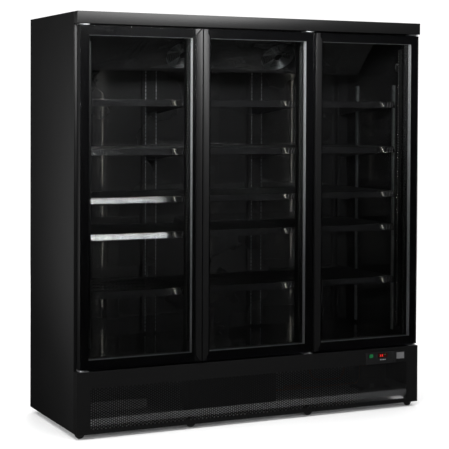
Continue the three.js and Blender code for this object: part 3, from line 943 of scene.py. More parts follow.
def lamp(name, place, aim, size, power):
    """A soft rectangular lamp that isn't seen itself."""
    light = bpy.data.lights.new(name, "AREA")
    light.shape = "RECTANGLE"
    light.size, light.size_y = size
    light.energy = power
    holder = bpy.data.objects.new(name, light)
    bpy.context.scene.collection.objects.link(holder)
    holder.location = place
    holder.rotation_euler = (Vector(aim) - Vector(place)).to_track_quat("-Z", "Y").to_euler()
    holder.visible_camera = False
    return holder


class MERCHANDISER_OT_stage(bpy.types.Operator):
    """Sets the camera, the soft studio light and the pale floor"""

    bl_idname = "merchandiser.stage"
    bl_label = "Studio"

    def execute(self, context):
        scene = context.scene
        scene.view_settings.view_transform = "Standard"
        scene.cycles.transparent_max_bounces = 16
        data = bpy.data.cameras.new("camera")
        data.sensor_width = 36.0
        data.lens = 109.69
        data.shift_y = -0.1696
        place, swing, droop, lean = (-3.0558, -6.3341, 1.5249), -0.4469, 0.0254, 0.0043
        camera = bpy.data.objects.new("camera", data)
        scene.collection.objects.link(camera)
        turn = Matrix.Rotation(swing, 4, "Z") @ Matrix.Rotation(pi / 2 - droop, 4, "X")
        roll = Matrix.Rotation(lean, 4, "Z")
        camera.matrix_world = Matrix.Translation(place) @ turn @ roll
        scene.camera = camera

        world = bpy.data.worlds.new("white_room")
        scene.world = world
        world.use_nodes = True
        background = world.node_tree.nodes["Background"].inputs
        background["Color"].default_value = (1, 1, 1, 1)
        background["Strength"].default_value = 1.12
        world.cycles_visibility.glossy = False

        floor = Shape()
        floor.box((-30, 30), (-30, 30), (-0.02, 0))
        floor = made("floor", floor.mesh("floor"), ("paper",), crease=0)
        floor.visible_glossy = False

        lamp("front_softbox", (-0.65, -1.85, 2.41), (-0.65, -0.3, 2.17), (2.3, 0.71), 66)
        lamp("edge_softbox", (-4.4, 4.3, 1.4), (-0.94, 0, 1.2), (2.2, 3.2), 13)
        lamp("side_softbox", (-6.5, 0.4, 2.6), (-0.9, 0.1, 1.0), (2.2, 2.2), 120)
        lamp("back_softbox", (1.5, 5.5, 3.2), (0, 0.3, 1.0), (3.0, 1.6), 160)
        return {"FINISHED"}


# ---- Cabinet -----------------------------------------------------------------------------------

class MERCHANDISER_OT_cabinet(bpy.types.Operator):
    """Finishes the casing with its seams, the liner, the front frame, the header and the base tray"""

    bl_idname = "merchandiser.cabinet"
    bl_label = "Cabinet"

    def execute(self, context):
        edge = sizes().edge
        low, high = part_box("foamed_casing")
        seams = Shape()
        depth = 0.0014
        inset, foot, head = 0.030, 0.312, high.z - 0.024
        past = 0.01
        seam = 0.0022
        back = (high.y - depth, high.y + past)
        for x in (low.x + inset, high.x - inset):
            seams.box((x - seam / 2, x + seam / 2), back, (foot, head))
        for z in (foot, head):
            seams.box((low.x + inset + seam, high.x - inset - seam), back, (z, z + seam))
        roof = (high.z - depth, high.z + past)
        for x in (low.x + inset, high.x - inset):
            seams.box((x - seam / 2, x + seam / 2), (low.y + inset, high.y - inset), roof)
        for y in (low.y + inset, high.y - inset):
            seams.box((low.x + inset + seam, high.x - inset - seam), (y, y + seam), roof)
        softened("foamed_casing", ("casing",), width=edge, cutter=seams)
        sunk = 0.0016
        points = [(x, high.y - sunk, z) for x in (low.x + 0.015, high.x - 0.015)
                  for z in row_of(0.36, head - 0.03, 9)]
        screws("rear_panel_screws", points, (0, 1, 0), 0.0032)

        softened("header_fascia", ("casing",), width=edge)
        softened("front_frame", ("casing",), width=0.0012)
        softened("base_tray", ("tray",), width=0.0007, segments=1)
        coat_frame_part("inner_liner", "liner")
        self.rear_cover()
        return {"FINISHED"}

    def rear_cover(self):
        """The louvred service cover, with hoods pressed in behind its slits."""
        low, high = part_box("rear_cover")
        softened("rear_cover", ("casing",), width=0.0005, segments=1)
        hood = Shape()
        hood.prism("x", ((0.0, -0.0045), (0.0, -0.0055), (-0.008, 0.003), (-0.008, 0.004)),
                   -0.058, 0.058)
        count, pitch = 8, 0.2
        hoods = in_rows(loose(hood), count, pitch)
        shape = Shape()
        for z in (0.135, 0.175, 0.215):
            shape.take(hoods.copy(), Matrix.Translation((0, low.y - 0.0002, z)))
        bpy.data.meshes.remove(hoods)
        fitted("louvre_hoods", shape, ("casing",), 30)
        points = [(x, high.y - 0.0019, z) for x in row_of(low.x + 0.02, high.x - 0.02, 9)
                  for z in (low.z + 0.02, high.z - 0.02)]
        screws("rear_cover_screws", points, (0, 1, 0), 0.0035)


class MERCHANDISER_OT_grille(bpy.types.Operator):
    """Makes the base panel with its finely perforated field"""

    bl_idname = "merchandiser.grille"
    bl_label = "Base Grille"

    columns = 168
    rows = 16

    def execute(self, context):
        low, high = (corner.copy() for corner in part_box("grille_panel"))
        clear = 0.0003
        low.x, high.x = low.x + clear, high.x - clear
        pitch = sizes().hole_pitch
        radius = sizes().hole / 2
        column_pitch = pitch * cos(pi / 6)
        middle = 0.1395
        sheet = 0.0012
        recess = 0.0003
        wall = 0.0018
        weld = 2e-5

        tiles = {"Tile": self.tile(pitch, radius, sheet), "Blank": self.tile(pitch, None, sheet)}
        field = repeated(perforation_tree, tiles, {
            "Columns": self.columns + 2, "Rows": self.rows + 2, "Column Pitch": column_pitch,
            "Row Pitch": pitch, "Shift": pitch / 2})
        turn = Matrix.Translation((0, low.y + recess, middle)) @ Matrix.Rotation(pi / 2, 4, "X")
        shape = Shape()
        shape.take(field, turn)
        bmesh.ops.remove_doubles(shape.bm, verts=shape.bm.verts[:], dist=weld)
        shape.close_rim((low.y + recess, low.y + recess + sheet))
        fitted("grille_mesh", shape, ("casing",))

        body_low, body_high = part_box("control_panel")
        hole_x = (body_low.x + 0.009, body_high.x - 0.009)
        hole_z = (body_low.z + 0.005, body_high.z - 0.003)
        half = self.columns * column_pitch / 2
        field_z = (middle - self.rows * pitch / 2 - 0.001, middle + (self.rows + 1) * pitch / 2 + 0.001)
        xs = [low.x, -half, *hole_x, half, high.x]
        zs = [low.z, *field_z, *hole_z, high.z]
        front = Shape()
        behind = low.y + wall
        front.plate(xs, zs, (low.y, behind), holes={(1, 1), (2, 1), (3, 1), (2, 3)})
        back = high.y
        front.box((low.x, low.x + wall), (behind, back), (low.z, high.z))
        front.box((high.x - wall, high.x), (behind, back), (low.z, high.z))
        front.box((low.x + wall, high.x - wall), (behind, back), (high.z - wall, high.z))
        front.box((low.x + wall, high.x - wall), (behind, low.y + 0.006), (low.z, low.z + wall))
        bmesh.ops.remove_doubles(front.bm, verts=front.bm.verts[:], dist=1e-6)
        panel = made("grille_surround", front.mesh("grille_surround"), ("casing",))
        rounded(panel, 0.0006, 1)
        attach(panel, CABINET, ("grille_panel",))
        return {"FINISHED"}

    def tile(self, pitch, radius, sheet):
        """A six-sided tile of sheet in X and Y, with a round hole or without one."""
        shape = Shape()
        reach = pitch / 3 ** 0.5
        corners = [(reach * c, reach * s) for c, s in around(6)]
        for z, flip in ((0, False), (-sheet, True)):
            outer = [shape.bm.verts.new((*corner, z)) for corner in corners]
            if radius is None:
                shape.bm.faces.new(outer[::-1] if flip else outer)
                continue
            inner = [shape.bm.verts.new((radius * c, radius * s, z)) for c, s in around(12)]
            for i in range(6):
                k = (i + 1) % 6
                ring = (outer[i], outer[k], inner[2 * k], inner[2 * i + 1], inner[2 * i])
                shape.bm.faces.new(ring[::-1] if flip else ring)
            if not flip:
                top = inner
                continue
            for i in range(12):
                k = (i + 1) % 12
                shape.bm.faces.new((top[i], top[k], inner[k], inner[i]))
        return loose(shape, tidy=False)


# ---- Doors -------------------------------------------------------------------------------------

class MERCHANDISER_OT_doors(bpy.types.Operator):
    """Makes the three doors: frames, sealed glass units, printed borders, gaskets and hinges"""

    bl_idname = "merchandiser.doors"
    bl_label = "Doors"

    def execute(self, context):
        for bay, side in DOOR_SIDES.items():
            self.door(bay, side)
            for end in ("bottom", "top"):
                softened(f"hinge_{bay}_{end}", ("zinc", "casing"), width=0.0004,
                         segments=1, paint=self.on_leaf)
        return {"FINISHED"}

    def on_leaf(self, face):
        """Whether a face of a hinge is on its painted leaf, not on its bright pin."""
        longest_on_pin = 0.02
        return max(edge.calc_length() for edge in face.edges) > longest_on_pin

    def door(self, bay, side):
        body = "door_" + bay
        low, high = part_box(body + "_frame")
        glass_low, glass_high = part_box(body + "_glass")
        hinge = low.x if side > 0 else high.x
        handle_edge = glass_high.x if side > 0 else glass_low.x
        softened(body + "_frame", ("door",), body, width=0.0008)

        size = sizes()
        front = glass_low.y
        pane = 0.0033
        stile = 0.0364
        unit_x = (low.x + stile, high.x - stile)
        unit_z = (low.z + stile, high.z - stile)
        glass = Shape()
        glass.box((hinge, handle_edge), (front, front + pane), (low.z, high.z))
        gap = 0.0002
        at = front + pane + gap
        spacer = 0.0118
        thick = 0.004
        middle = (at + spacer + gap, at + spacer + gap + thick)
        inner = (middle[1] + spacer + 2 * gap, middle[1] + spacer + 2 * gap + thick)
        for span in (middle, inner):
            glass.box(unit_x, span, unit_z)
        panes = made(body + "_panes", glass.mesh(body + "_panes"), ("glass",), crease=30)
        rounded(panes, 0.0005, 1)
        attach(panes, body, (body + "_glass",))

        border = Shape()
        inner_hinge = hinge + side * size.print_hinge
        inner_handle = handle_edge - side * size.print_handle
        xs = sorted((hinge + side * 0.0003, inner_hinge, inner_handle, handle_edge - side * 0.0003))
        zs = [low.z + 0.0003, low.z + size.print_foot, high.z - size.print_top, high.z - 0.0003]
        border.plate(xs, zs, (front + pane + 0.00003, front + pane + 0.00018), holes={(1, 1)})
        fitted(body + "_border", border, ("print",), body=body)

        bars = Shape()
        for start in (at, middle[1] + gap):
            end = start + spacer
            section = [(0.0004, start), (0.0062, start), (0.0070, start + 0.001),
                       (0.0070, end - 0.001), (0.0062, end), (0.0004, end)]
            bars.border(section, unit_x, unit_z)
        fitted(body + "_spacers", bars, ("spacer",), 50, body)
        self.gasket(body)

    def gasket(self, body):
        """A folded bellows seal with its magnet bead towards the cabinet."""
        node = body + "_gasket"
        low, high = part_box(node)
        depth = high.y - low.y
        width = 0.014
        profile = [(0.0, 0.0), (0.35, 0.0), (0.42, 0.22), (0.58, 0.22), (0.65, 0.0), (1.0, 0.0),
                   (1.0, 0.3), (0.86, 0.42), (1.0, 0.55), (1.0, 0.9), (0.9, 1.0), (0.1, 1.0),
                   (0.0, 0.9), (0.0, 0.55), (0.14, 0.42), (0.0, 0.3)]
        seal = Shape()
        seal.border([(u * width, low.y + v * depth) for u, v in profile],
                    (low.x, high.x), (low.z, high.z))
        fitted(node + "_bellows", seal, ("gasket",), 50, body, (node,))


# ---- Shelves -----------------------------------------------------------------------------------

class MERCHANDISER_OT_shelves(bpy.types.Operator):
    """Makes the wire decks with their brackets and price rails"""

    bl_idname = "merchandiser.shelves"
    bl_label = "Shelves"

    def execute(self, context):
        for bay in BAYS:
            for level in SHELF_LEVELS:
                self.shelf(bay, level)
        return {"FINISHED"}

    def shelf(self, bay, level):
        node = f"shelf_{bay}_{level}"
        low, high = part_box(node)
        size = sizes()
        wire, bar = size.wire / 2, size.bar / 2
        width = high.x - low.x
        front, back, top = low.y + 0.014, high.y - 0.003, high.z
        middle = (low.x + high.x) / 2

        rod = Shape()
        reach = (back - front) / 2
        rod.turned([(wire, -reach), (wire, reach)], (0, 0, 0), (0, 1, 0), sides=8)
        count = int((width - 0.02) / size.wire_pitch)
        wires = in_rows(loose(rod), count, size.wire_pitch)
        shape = Shape()
        shape.take(wires, Matrix.Translation((middle, (front + back) / 2, top - wire)))
        under = top - 2 * wire - bar
        for y in (front + 0.004, front + 0.11, front + 0.225, front + 0.34, back - 0.004):
            shape.tube([(low.x + 0.004, y, under), (high.x - 0.004, y, under)], bar, 8)
        for x in (low.x + bar, high.x - bar):
            shape.tube([(x, front, top - bar), (x, back, top - bar)], bar, 8)
        shape.tube([(low.x + bar, back, top - bar), (high.x - bar, back, top - bar)], bar, 8)
        arm = 0.250 if bay != "middle" else 0.2805
        for x in (middle - arm, middle + arm):
            outline = [(back + 0.002, under - bar), (back + 0.002, top - 0.070),
                       (back - 0.004, top - 0.070), (back - 0.050, top - 0.066),
                       (front + 0.040, top - 0.024), (front + 0.034, under - bar)]
            shape.prism("x", outline, x - 0.0013, x + 0.0013)
            shape.box((x - 0.0045, x + 0.0045), (front + 0.05, back - 0.03),
                      (under - bar - 0.0014, under - bar))
        fitted(node + "_deck", shape, ("wire",), 50, nodes=(node,))
        self.rail(node, low, high)

    def rail(self, node, low, high):
        """An extruded price rail, its face leaning back, with a clear clip at its right end."""
        front, top = low.y, high.z
        outline = [(0.0136, 0.0), (0.0108, -0.0010), (0.0100, -0.0028), (0.0117, -0.0040),
                   (0.0020, -0.0300), (0.0006, -0.0296), (0.0003, -0.0318), (0.0024, -0.0338),
                   (0.0138, -0.0338), (0.0152, -0.0320), (0.0152, -0.0014)]
        place = [(front + y, top + z) for y, z in outline]
        clip = 0.052
        rail = Shape()
        rail.prism("x", place, low.x + 0.001, high.x - 0.001)
        piece = made(node + "_price_rail", rail.mesh(node), ("rail",), crease=30)
        attach(rounded(piece, 0.0004, 1), CABINET)

        def face(height):
            """The rail's face at a height above its foot, as (y, z)."""
            return front + 0.0020 + height * 0.373 - 0.0004, top - 0.0300 + height

        ends = Shape()
        lean = 0.010
        thick = 0.0012
        rib = 0.0024
        for x in (high.x - clip, high.x - clip * 0.66, high.x - clip * 0.36):
            ends.skin([[(start, y, z), (start + rib, y, z), (start + rib, y - thick, z),
                        (start, y - thick, z)]
                       for start, (y, z) in ((x, face(0.001)), (x + lean, face(0.0245)))])
        fitted(node + "_rail_clip", ends, ("clip",))


# ---- Fittings inside ---------------------------------------------------------------------------

class MERCHANDISER_OT_fittings(bpy.types.Operator):
    """Makes the slotted uprights, the light strips and the door switches"""

    bl_idname = "merchandiser.fittings"
    bl_label = "Inside Fittings"

    def execute(self, context):
        for side in ("left", "right"):
            self.pilaster(side)
        low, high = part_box("inner_liner")
        wall = 0.0034
        for way, x in ((1, low.x + wall), (-1, high.x - wall)):
            name = "left" if way > 0 else "right"
            self.corner_upright(name, way, x)
            for y, place in ((-0.19, "front"), (0.18, "rear")):
                self.side_upright(f"{name}_{place}", way, x, y)
            self.door_switch(name, way, x)
        self.light_strips()
        return {"FINISHED"}

    def slotted(self, width, slots, rows, sheet=0.0015):
        """A strip of sheet in X and Z with rows of slots, its front at zero, centred on zero."""
        pitch = sizes().slot_pitch
        half_slot, edge = 0.0022, pitch * 0.17
        xs = [-width / 2]
        for x in slots:
            xs += [x - half_slot, x + half_slot]
        xs.append(width / 2)
        zs = [-pitch / 2, -pitch / 2 + edge, pitch / 2 - edge, pitch / 2]
        tile = Shape()
        holes = {(2 * i + 1, 1) for i in range(len(slots))}
        tile.plate(xs, zs, (0, sheet), holes=holes, rim=False)
        piece = loose(tile)
        piece.data.transform(Matrix.Rotation(-pi / 2, 4, "X"))
        mesh = in_rows(piece, 1, width, rows, pitch)
        mesh.transform(Matrix.Rotation(pi / 2, 4, "X"))
        strip = Shape()
        strip.take(mesh)
        strip.close_rim((0, sheet))
        return strip.mesh("strip")

    def pilaster(self, side):
        node = "rear_pilaster_" + side
        low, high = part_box(node)
        sheet = 0.0015
        pitch = sizes().slot_pitch
        rows = int((high.z - low.z) / pitch)
        middle = (low.x + high.x) / 2
        column = 0.0295
        strip = self.slotted(high.x - low.x, (-column, column), rows, sheet)
        centre = (low.z + high.z) / 2
        shape = Shape()
        shape.take(strip, Matrix.Translation((middle, low.y, centre)))
        for x in ((low.x, low.x + sheet), (high.x - sheet, high.x)):
            shape.box(x, (low.y + sheet, high.y), (centre - rows * pitch / 2, centre + rows * pitch / 2))
        fitted(node + "_channel", shape, ("liner",), nodes=(node,))
        inner = Shape()
        for x in (middle - column, middle + column):
            inner.box((x - 0.004, x + 0.004), (low.y + sheet + 0.0004, low.y + sheet + 0.0014),
                      (low.z + 0.01, high.z - 0.01))
        fitted(node + "_strips", inner, ("zinc",), 0)

    def corner_upright(self, name, way, x):
        """A slotted angle in the rear corner."""
        width, depth, sheet = 0.062, 0.020, 0.0015
        low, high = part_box("rear_pilaster_left")
        rows = int((high.z - low.z) / sizes().slot_pitch)
        strip = self.slotted(width, (way * 0.011,), rows, sheet)
        centre = (low.z + high.z) / 2
        half = rows * sizes().slot_pitch / 2
        shape = Shape()
        shape.take(strip, Matrix.Translation((x + way * width / 2, low.y, centre)))
        edge = x + way * width
        shape.box((edge, edge - way * sheet), (low.y + sheet, low.y + depth), (centre - half, centre + half))
        fitted(f"corner_upright_{name}", shape, ("liner",))

    def side_upright(self, name, way, x, y):
        """A galvanised slotted channel on a side wall."""
        width, depth, sheet = 0.017, 0.006, 0.0014
        rows = 66
        pitch = sizes().slot_pitch
        strip = self.slotted(width, (0.0,), rows, sheet)
        turn = Matrix.Rotation(pi / 2 if way > 0 else -pi / 2, 4, "Z")
        centre = 0.385 + rows * pitch / 2
        shape = Shape()
        shape.take(strip, Matrix.Translation((x + way * depth, y, centre)) @ turn)
        for edge in (y - width / 2, y + width / 2 - sheet):
            shape.box((x, x + way * (depth - sheet)), (edge, edge + sheet),
                      (centre - rows * pitch / 2, centre + rows * pitch / 2))
        fitted(f"side_upright_{name}", shape, ("zinc",))

    def door_switch(self, name, way, x):
        """A switch box near the top, with its sprung hook."""
        face, button = x + way * 0.020, x + way * 0.024
        shape = Shape()
        shape.box((x, face), (-0.262, -0.232), (1.748, 1.792))
        shape.box((face, button), (-0.256, -0.238), (1.756, 1.784))
        body = rounded(made(f"door_switch_{name}", shape.mesh("door_switch"), ("plastic",), crease=0),
                       0.0015)
        attach(body, CABINET)
        hook = Shape()
        reach = x + way * 0.026
        bend = ((-0.247, 1.760), (-0.247, 1.776), (-0.252, 1.786), (-0.262, 1.788), (-0.268, 1.780))
        wire = 0.0017
        hook.tube([(reach, y, z) for y, z in bend], wire, 8)
        fitted(f"switch_hook_{name}", hook, ("zinc",), 50)

    def light_strips(self):
        """Upright light strips behind the frame of each opening, with a row of chips in each."""
        bottom, top = 0.42, 1.86
        centre = (top + bottom) / 2
        chip_pitch = sizes().chip_pitch
        count = int((top - bottom - 0.02) / chip_pitch)
        side, mullion, half_mullion = 0.862, 0.31, 0.0352
        places = [(-side, 1), (side, -1)]
        for x in (-mullion, mullion):
            places += [(x - half_mullion, -1), (x + half_mullion, 1)]
        half, half_thick = 0.0016, 0.0006
        chip = Shape()
        chip.box((-half, half), (-half, half), (-half_thick, half_thick))
        row = in_rows(loose(chip), 1, 0.01, count, chip_pitch)
        stand = Matrix(((0, 0, 1, 0), (1, 0, 0, 0), (0, 1, 0, 0), (0, 0, 0, 1)))
        channel, chips, pads = Shape(), Shape(), Shape()
        front, back = -0.294, -0.268
        slant = radians(40)
        for x, way in places:
            shoulder, face = x + way * 0.006, x + way * 0.011
            channel.prism("z", [(x, front), (x, back), (shoulder, back), (face, -0.274),
                                (face, -0.288), (shoulder, front)], bottom, top)
            pads.take(row.copy(), Matrix.Translation((x + way * 0.0112, -0.281, centre)) @ stand)
            facet = Matrix.Translation((x + way * 0.0083, -0.2712, centre))
            chips.take(row.copy(), facet @ Matrix.Rotation(way * slant, 4, "Z") @ stand)
        bpy.data.meshes.remove(row)
        fitted("light_channels", channel, ("plastic",), 30)
        fitted("light_chips", chips, ("chip",), 0)
        fitted("light_pads", pads, ("white_plastic",), 0)


# ---- Cooling -----------------------------------------------------------------------------------

def wheel_turn(joint):
    """The place of a wheel: Z along its joint's axis."""
    axis = Vector(joint["axis"])
    turn = Vector((0, 0, 1)).rotation_difference(axis).to_matrix().to_4x4()
    return Matrix.Translation(joint["pos_m"]) @ turn


def fan_wheel(node, joint_name, radius, hub):
    """A moulded fan with twisted blades round a domed hub."""
    joint = JOINTS[joint_name]
    blade = Shape()
    rings = []
    sections = 5
    for i in range(sections):
        share = i / (sections - 1)
        reach = hub * 0.9 + (radius - hub * 0.9) * share
        chord = radius * (0.30 + 0.34 * share)
        pitch = radians(34 - 12 * share)
        sweep = radius * 0.10 * share
        ring = []
        for k in range(8):
            along = (k if k < 4 else 7 - k) / 3 - 0.5
            camber = (0.25 - along * along) * chord * 0.28
            lift = camber + (0.0009 if k < 4 else -0.0009)
            ring.append((reach, along * chord * cos(pitch) - lift * sin(pitch) + sweep,
                         along * chord * sin(pitch) * 0.8 + lift * cos(pitch)))
        rings.append(ring)
    blade.skin(rings)
    blades = repeated(circle_tree, loose(blade), {"Count": sizes().blades})
    shape = Shape()
    shape.take(blades)
    shape.turned([(0.004, -0.0085), (hub * 0.9, -0.0085), (hub, -0.006), (hub, 0.005),
                  (hub * 0.86, 0.0085), (hub * 0.5, 0.0098), (0.003, 0.0100)], (0, 0, 0), sides=28)
    mesh = shape.mesh(node)
    mesh.transform(wheel_turn(joint))
    piece = made(node + "_blades", mesh, ("plastic",), crease=45)
    attach(piece, joint["child"], (node,))


class MERCHANDISER_OT_evaporator(bpy.types.Operator):
    """Makes the evaporator with its cover, guards, fans and fins"""

    bl_idname = "merchandiser.evaporator"
    bl_label = "Evaporator"

    def execute(self, context):
        softened("evaporator_cover", ("liner",), width=0.0008, segments=1)
        guard = grown(guard_tree, {"Rings": 8, "First Radius": 0.024, "Spokes": 4,
                                   "Ring Pitch": sizes().guard_pitch, "Wire Radius": 0.0011})
        for side in ("left", "right"):
            fan_wheel("evaporator_fan_" + side, f"evaporator_fan_{side}_spin", 0.084, 0.024)
            turn = wheel_turn(JOINTS[f"evaporator_fan_{side}_spin"])
            shape = Shape()
            shape.take(guard.copy(), turn @ Matrix.Translation((0, 0, -0.0168)))
            fitted("fan_guard_" + side, shape, ("zinc",), 50)
        bpy.data.meshes.remove(guard)
        finned_coil("evaporator_coil", "fins", rows=(0.125, 0.165, 0.205), levels=4)
        return {"FINISHED"}


def finned_coil(node, finish_name, rows, levels, inset=0.0):
    """End plates, a stack of fins and the tubes through them, in the box of a frame part."""
    low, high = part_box(node)
    low, high = low.copy(), high.copy()
    high.y -= inset
    pitch = sizes().fin_pitch
    fin = Shape()
    clear, plate, tube = 0.008, 0.002, 0.0048
    half_y, half_z = (high.y - low.y) / 2 - clear, (high.z - low.z) / 2 - clear
    fin.box((-0.0002, 0.0002), (-half_y, half_y), (-half_z, half_z))
    count = int((high.x - low.x - 2 * clear) / pitch)
    middle = (low + high) / 2
    shape = Shape()
    shape.take(in_rows(loose(fin), count, pitch), Matrix.Translation(middle))
    for x in ((low.x, low.x + plate), (high.x - plate, high.x)):
        shape.box(x, (low.y, high.y), (low.z, high.z))
    for y in rows:
        for i in range(levels):
            z = low.z + (high.z - low.z) * (i + 0.7) / (levels + 0.4)
            shape.tube([(low.x + 0.001, y, z), (high.x - 0.001, y, z)], tube, 10, slot=1)
    return fitted(node + "_fins", shape, (finish_name, "copper"), 40, nodes=(node,))


class MERCHANDISER_OT_machinery(bpy.types.Operator):
    """Makes the condensing unit: coil, fan, compressor and pipes"""

    bl_idname = "merchandiser.machinery"
    bl_label = "Condensing Unit"

    def execute(self, context):
        low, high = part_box("condenser")
        coil_back = low.y + 0.072
        finned_coil("condenser", "enamel", inset=high.y - coil_back, levels=6,
                    rows=(low.y + 0.022, low.y + 0.050))
        fan_wheel("condenser_fan", "condenser_fan_spin", 0.076, 0.022)
        self.shroud(low, high, coil_back)
        self.compressor()
        return {"FINISHED"}

    def shroud(self, low, high, front):
        """The fan shroud, with its round opening rolled inwards."""
        centre = Vector(JOINTS["condenser_fan_spin"]["pos_m"])
        middle = (low + high) / 2
        half_x, half_z = (high.x - low.x) / 2, (high.z - low.z) / 2
        turns = around(48)
        opening, back, least = 0.083, high.y, 1e-6

        def circle(growth, y):
            radius = opening + growth
            return [(centre.x + radius * c, y, centre.z + radius * s) for c, s in turns]

        def square(share, y):
            reaches = [min(half_x / max(abs(c), least), half_z / max(abs(s), least)) * share
                       for c, s in turns]
            return [(middle.x + reach * c, y, middle.z + reach * s)
                    for reach, (c, s) in zip(reaches, turns)]

        lip, sheet, inside = back - 0.012, back - 0.002, 0.985
        shape = Shape()
        shape.skin([circle(0, lip), circle(0.001, back - 0.003), circle(0.004, back),
                    square(1, back), square(1, front), square(inside, front), square(inside, sheet),
                    circle(0.005, sheet), circle(0.0015, lip)], loop=True)
        fitted("condenser_shroud", shape, ("enamel",))

    def compressor(self):
        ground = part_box("compressor")[0].z
        x, y = 0.790, -0.115
        can = Shape()
        profile = [(0.004, 0.012), (0.070, 0.012), (0.080, 0.016), (0.084, 0.026), (0.084, 0.060),
                   (0.0875, 0.062), (0.0875, 0.068), (0.084, 0.070), (0.084, 0.128),
                   (0.080, 0.142), (0.070, 0.155), (0.052, 0.164), (0.028, 0.169), (0.004, 0.170)]
        can.turned([(r, ground + h) for r, h in profile], (x, y, 0), sides=48)
        can.box((x - 0.095, x + 0.095), (y - 0.060, y + 0.060), (ground + 0.009, ground + 0.0125))
        can.box((x - 0.104, x - 0.076), (y - 0.030, y + 0.030), (ground + 0.050, ground + 0.110), slot=1)
        foot_x, foot_y = 0.080, 0.046
        for dx in (-foot_x, foot_x):
            for dy in (-foot_y, foot_y):
                can.turned([(0.012, ground), (0.0125, ground + 0.004), (0.009, ground + 0.009)],
                           (x + dx, y + dy, 0), sides=20, slot=2)
                can.turned([(0.006, ground + 0.0125), (0.006, ground + 0.016)],
                           (x + dx, y + dy, 0), sides=6, slot=3)
        piece = made("compressor_can", can.mesh("compressor"), ("enamel", "plastic", "tyre", "zinc"))
        attach(rounded(piece, 0.0012, 2, 50), CABINET, ("compressor",))

        pipes = Shape()
        run = -0.150
        pipes.tube([(x - 0.060, y - 0.058, 0.200), (x - 0.075, y - 0.072, 0.206),
                    (x - 0.092, run - 0.02, 0.200), (x - 0.100, run - 0.022, 0.180),
                    (x - 0.102, run - 0.022, 0.130), (x - 0.120, run - 0.022, 0.112),
                    (0.400, run - 0.022, 0.108), (0.200, run - 0.022, 0.112),
                    (0.160, run - 0.022, 0.126), (0.150, run - 0.026, 0.150),
                    (0.137, run - 0.034, 0.156)], 0.004, 10)
        pipes.tube([(x - 0.055, y + 0.062, 0.190), (x - 0.085, y + 0.080, 0.190),
                    (x - 0.108, y + 0.090, 0.176), (x - 0.112, y + 0.092, 0.130),
                    (x - 0.130, y + 0.094, 0.110), (0.560, y + 0.110, 0.106),
                    (0.520, y + 0.130, 0.112), (0.505, y + 0.140, 0.140),
                    (0.500, y + 0.142, 0.298)], 0.0055, 10)
        pipes.turned([(0.003, -0.055), (0.010, -0.046), (0.010, 0.046), (0.003, 0.055)],
                     (0.300, run - 0.002, 0.118), (1, 0, 0), sides=20)
        fitted("refrigerant_pipes", pipes, ("copper",), 45)
        nut = Shape()
        nut.turned([(0.0045, -0.012), (0.0045, -0.006), (0.0095, -0.005), (0.0105, -0.001),
                    (0.0105, 0.004), (0.0080, 0.007), (0.0035, 0.008)], (0.730, -0.235, 0.107),
                   (0, -1, 0), sides=12)
        nut.box((0.727, 0.733), (-0.224, -0.205), (0.070, 0.111))
        nut.box((0.715, 0.745), (-0.224, -0.200), (0.0665, 0.0695))
        fitted("service_valve", nut, ("zinc",), 30)


# ---- Controls ----------------------------------------------------------------------------------

SEGMENTS = {"0": "abcdef", "1": "bc", "2": "abged", "3": "abgcd", "4": "fgbc", "5": "afgcd",
            "6": "afgedc", "7": "abc", "8": "abcdefg", "9": "abfgcd"}


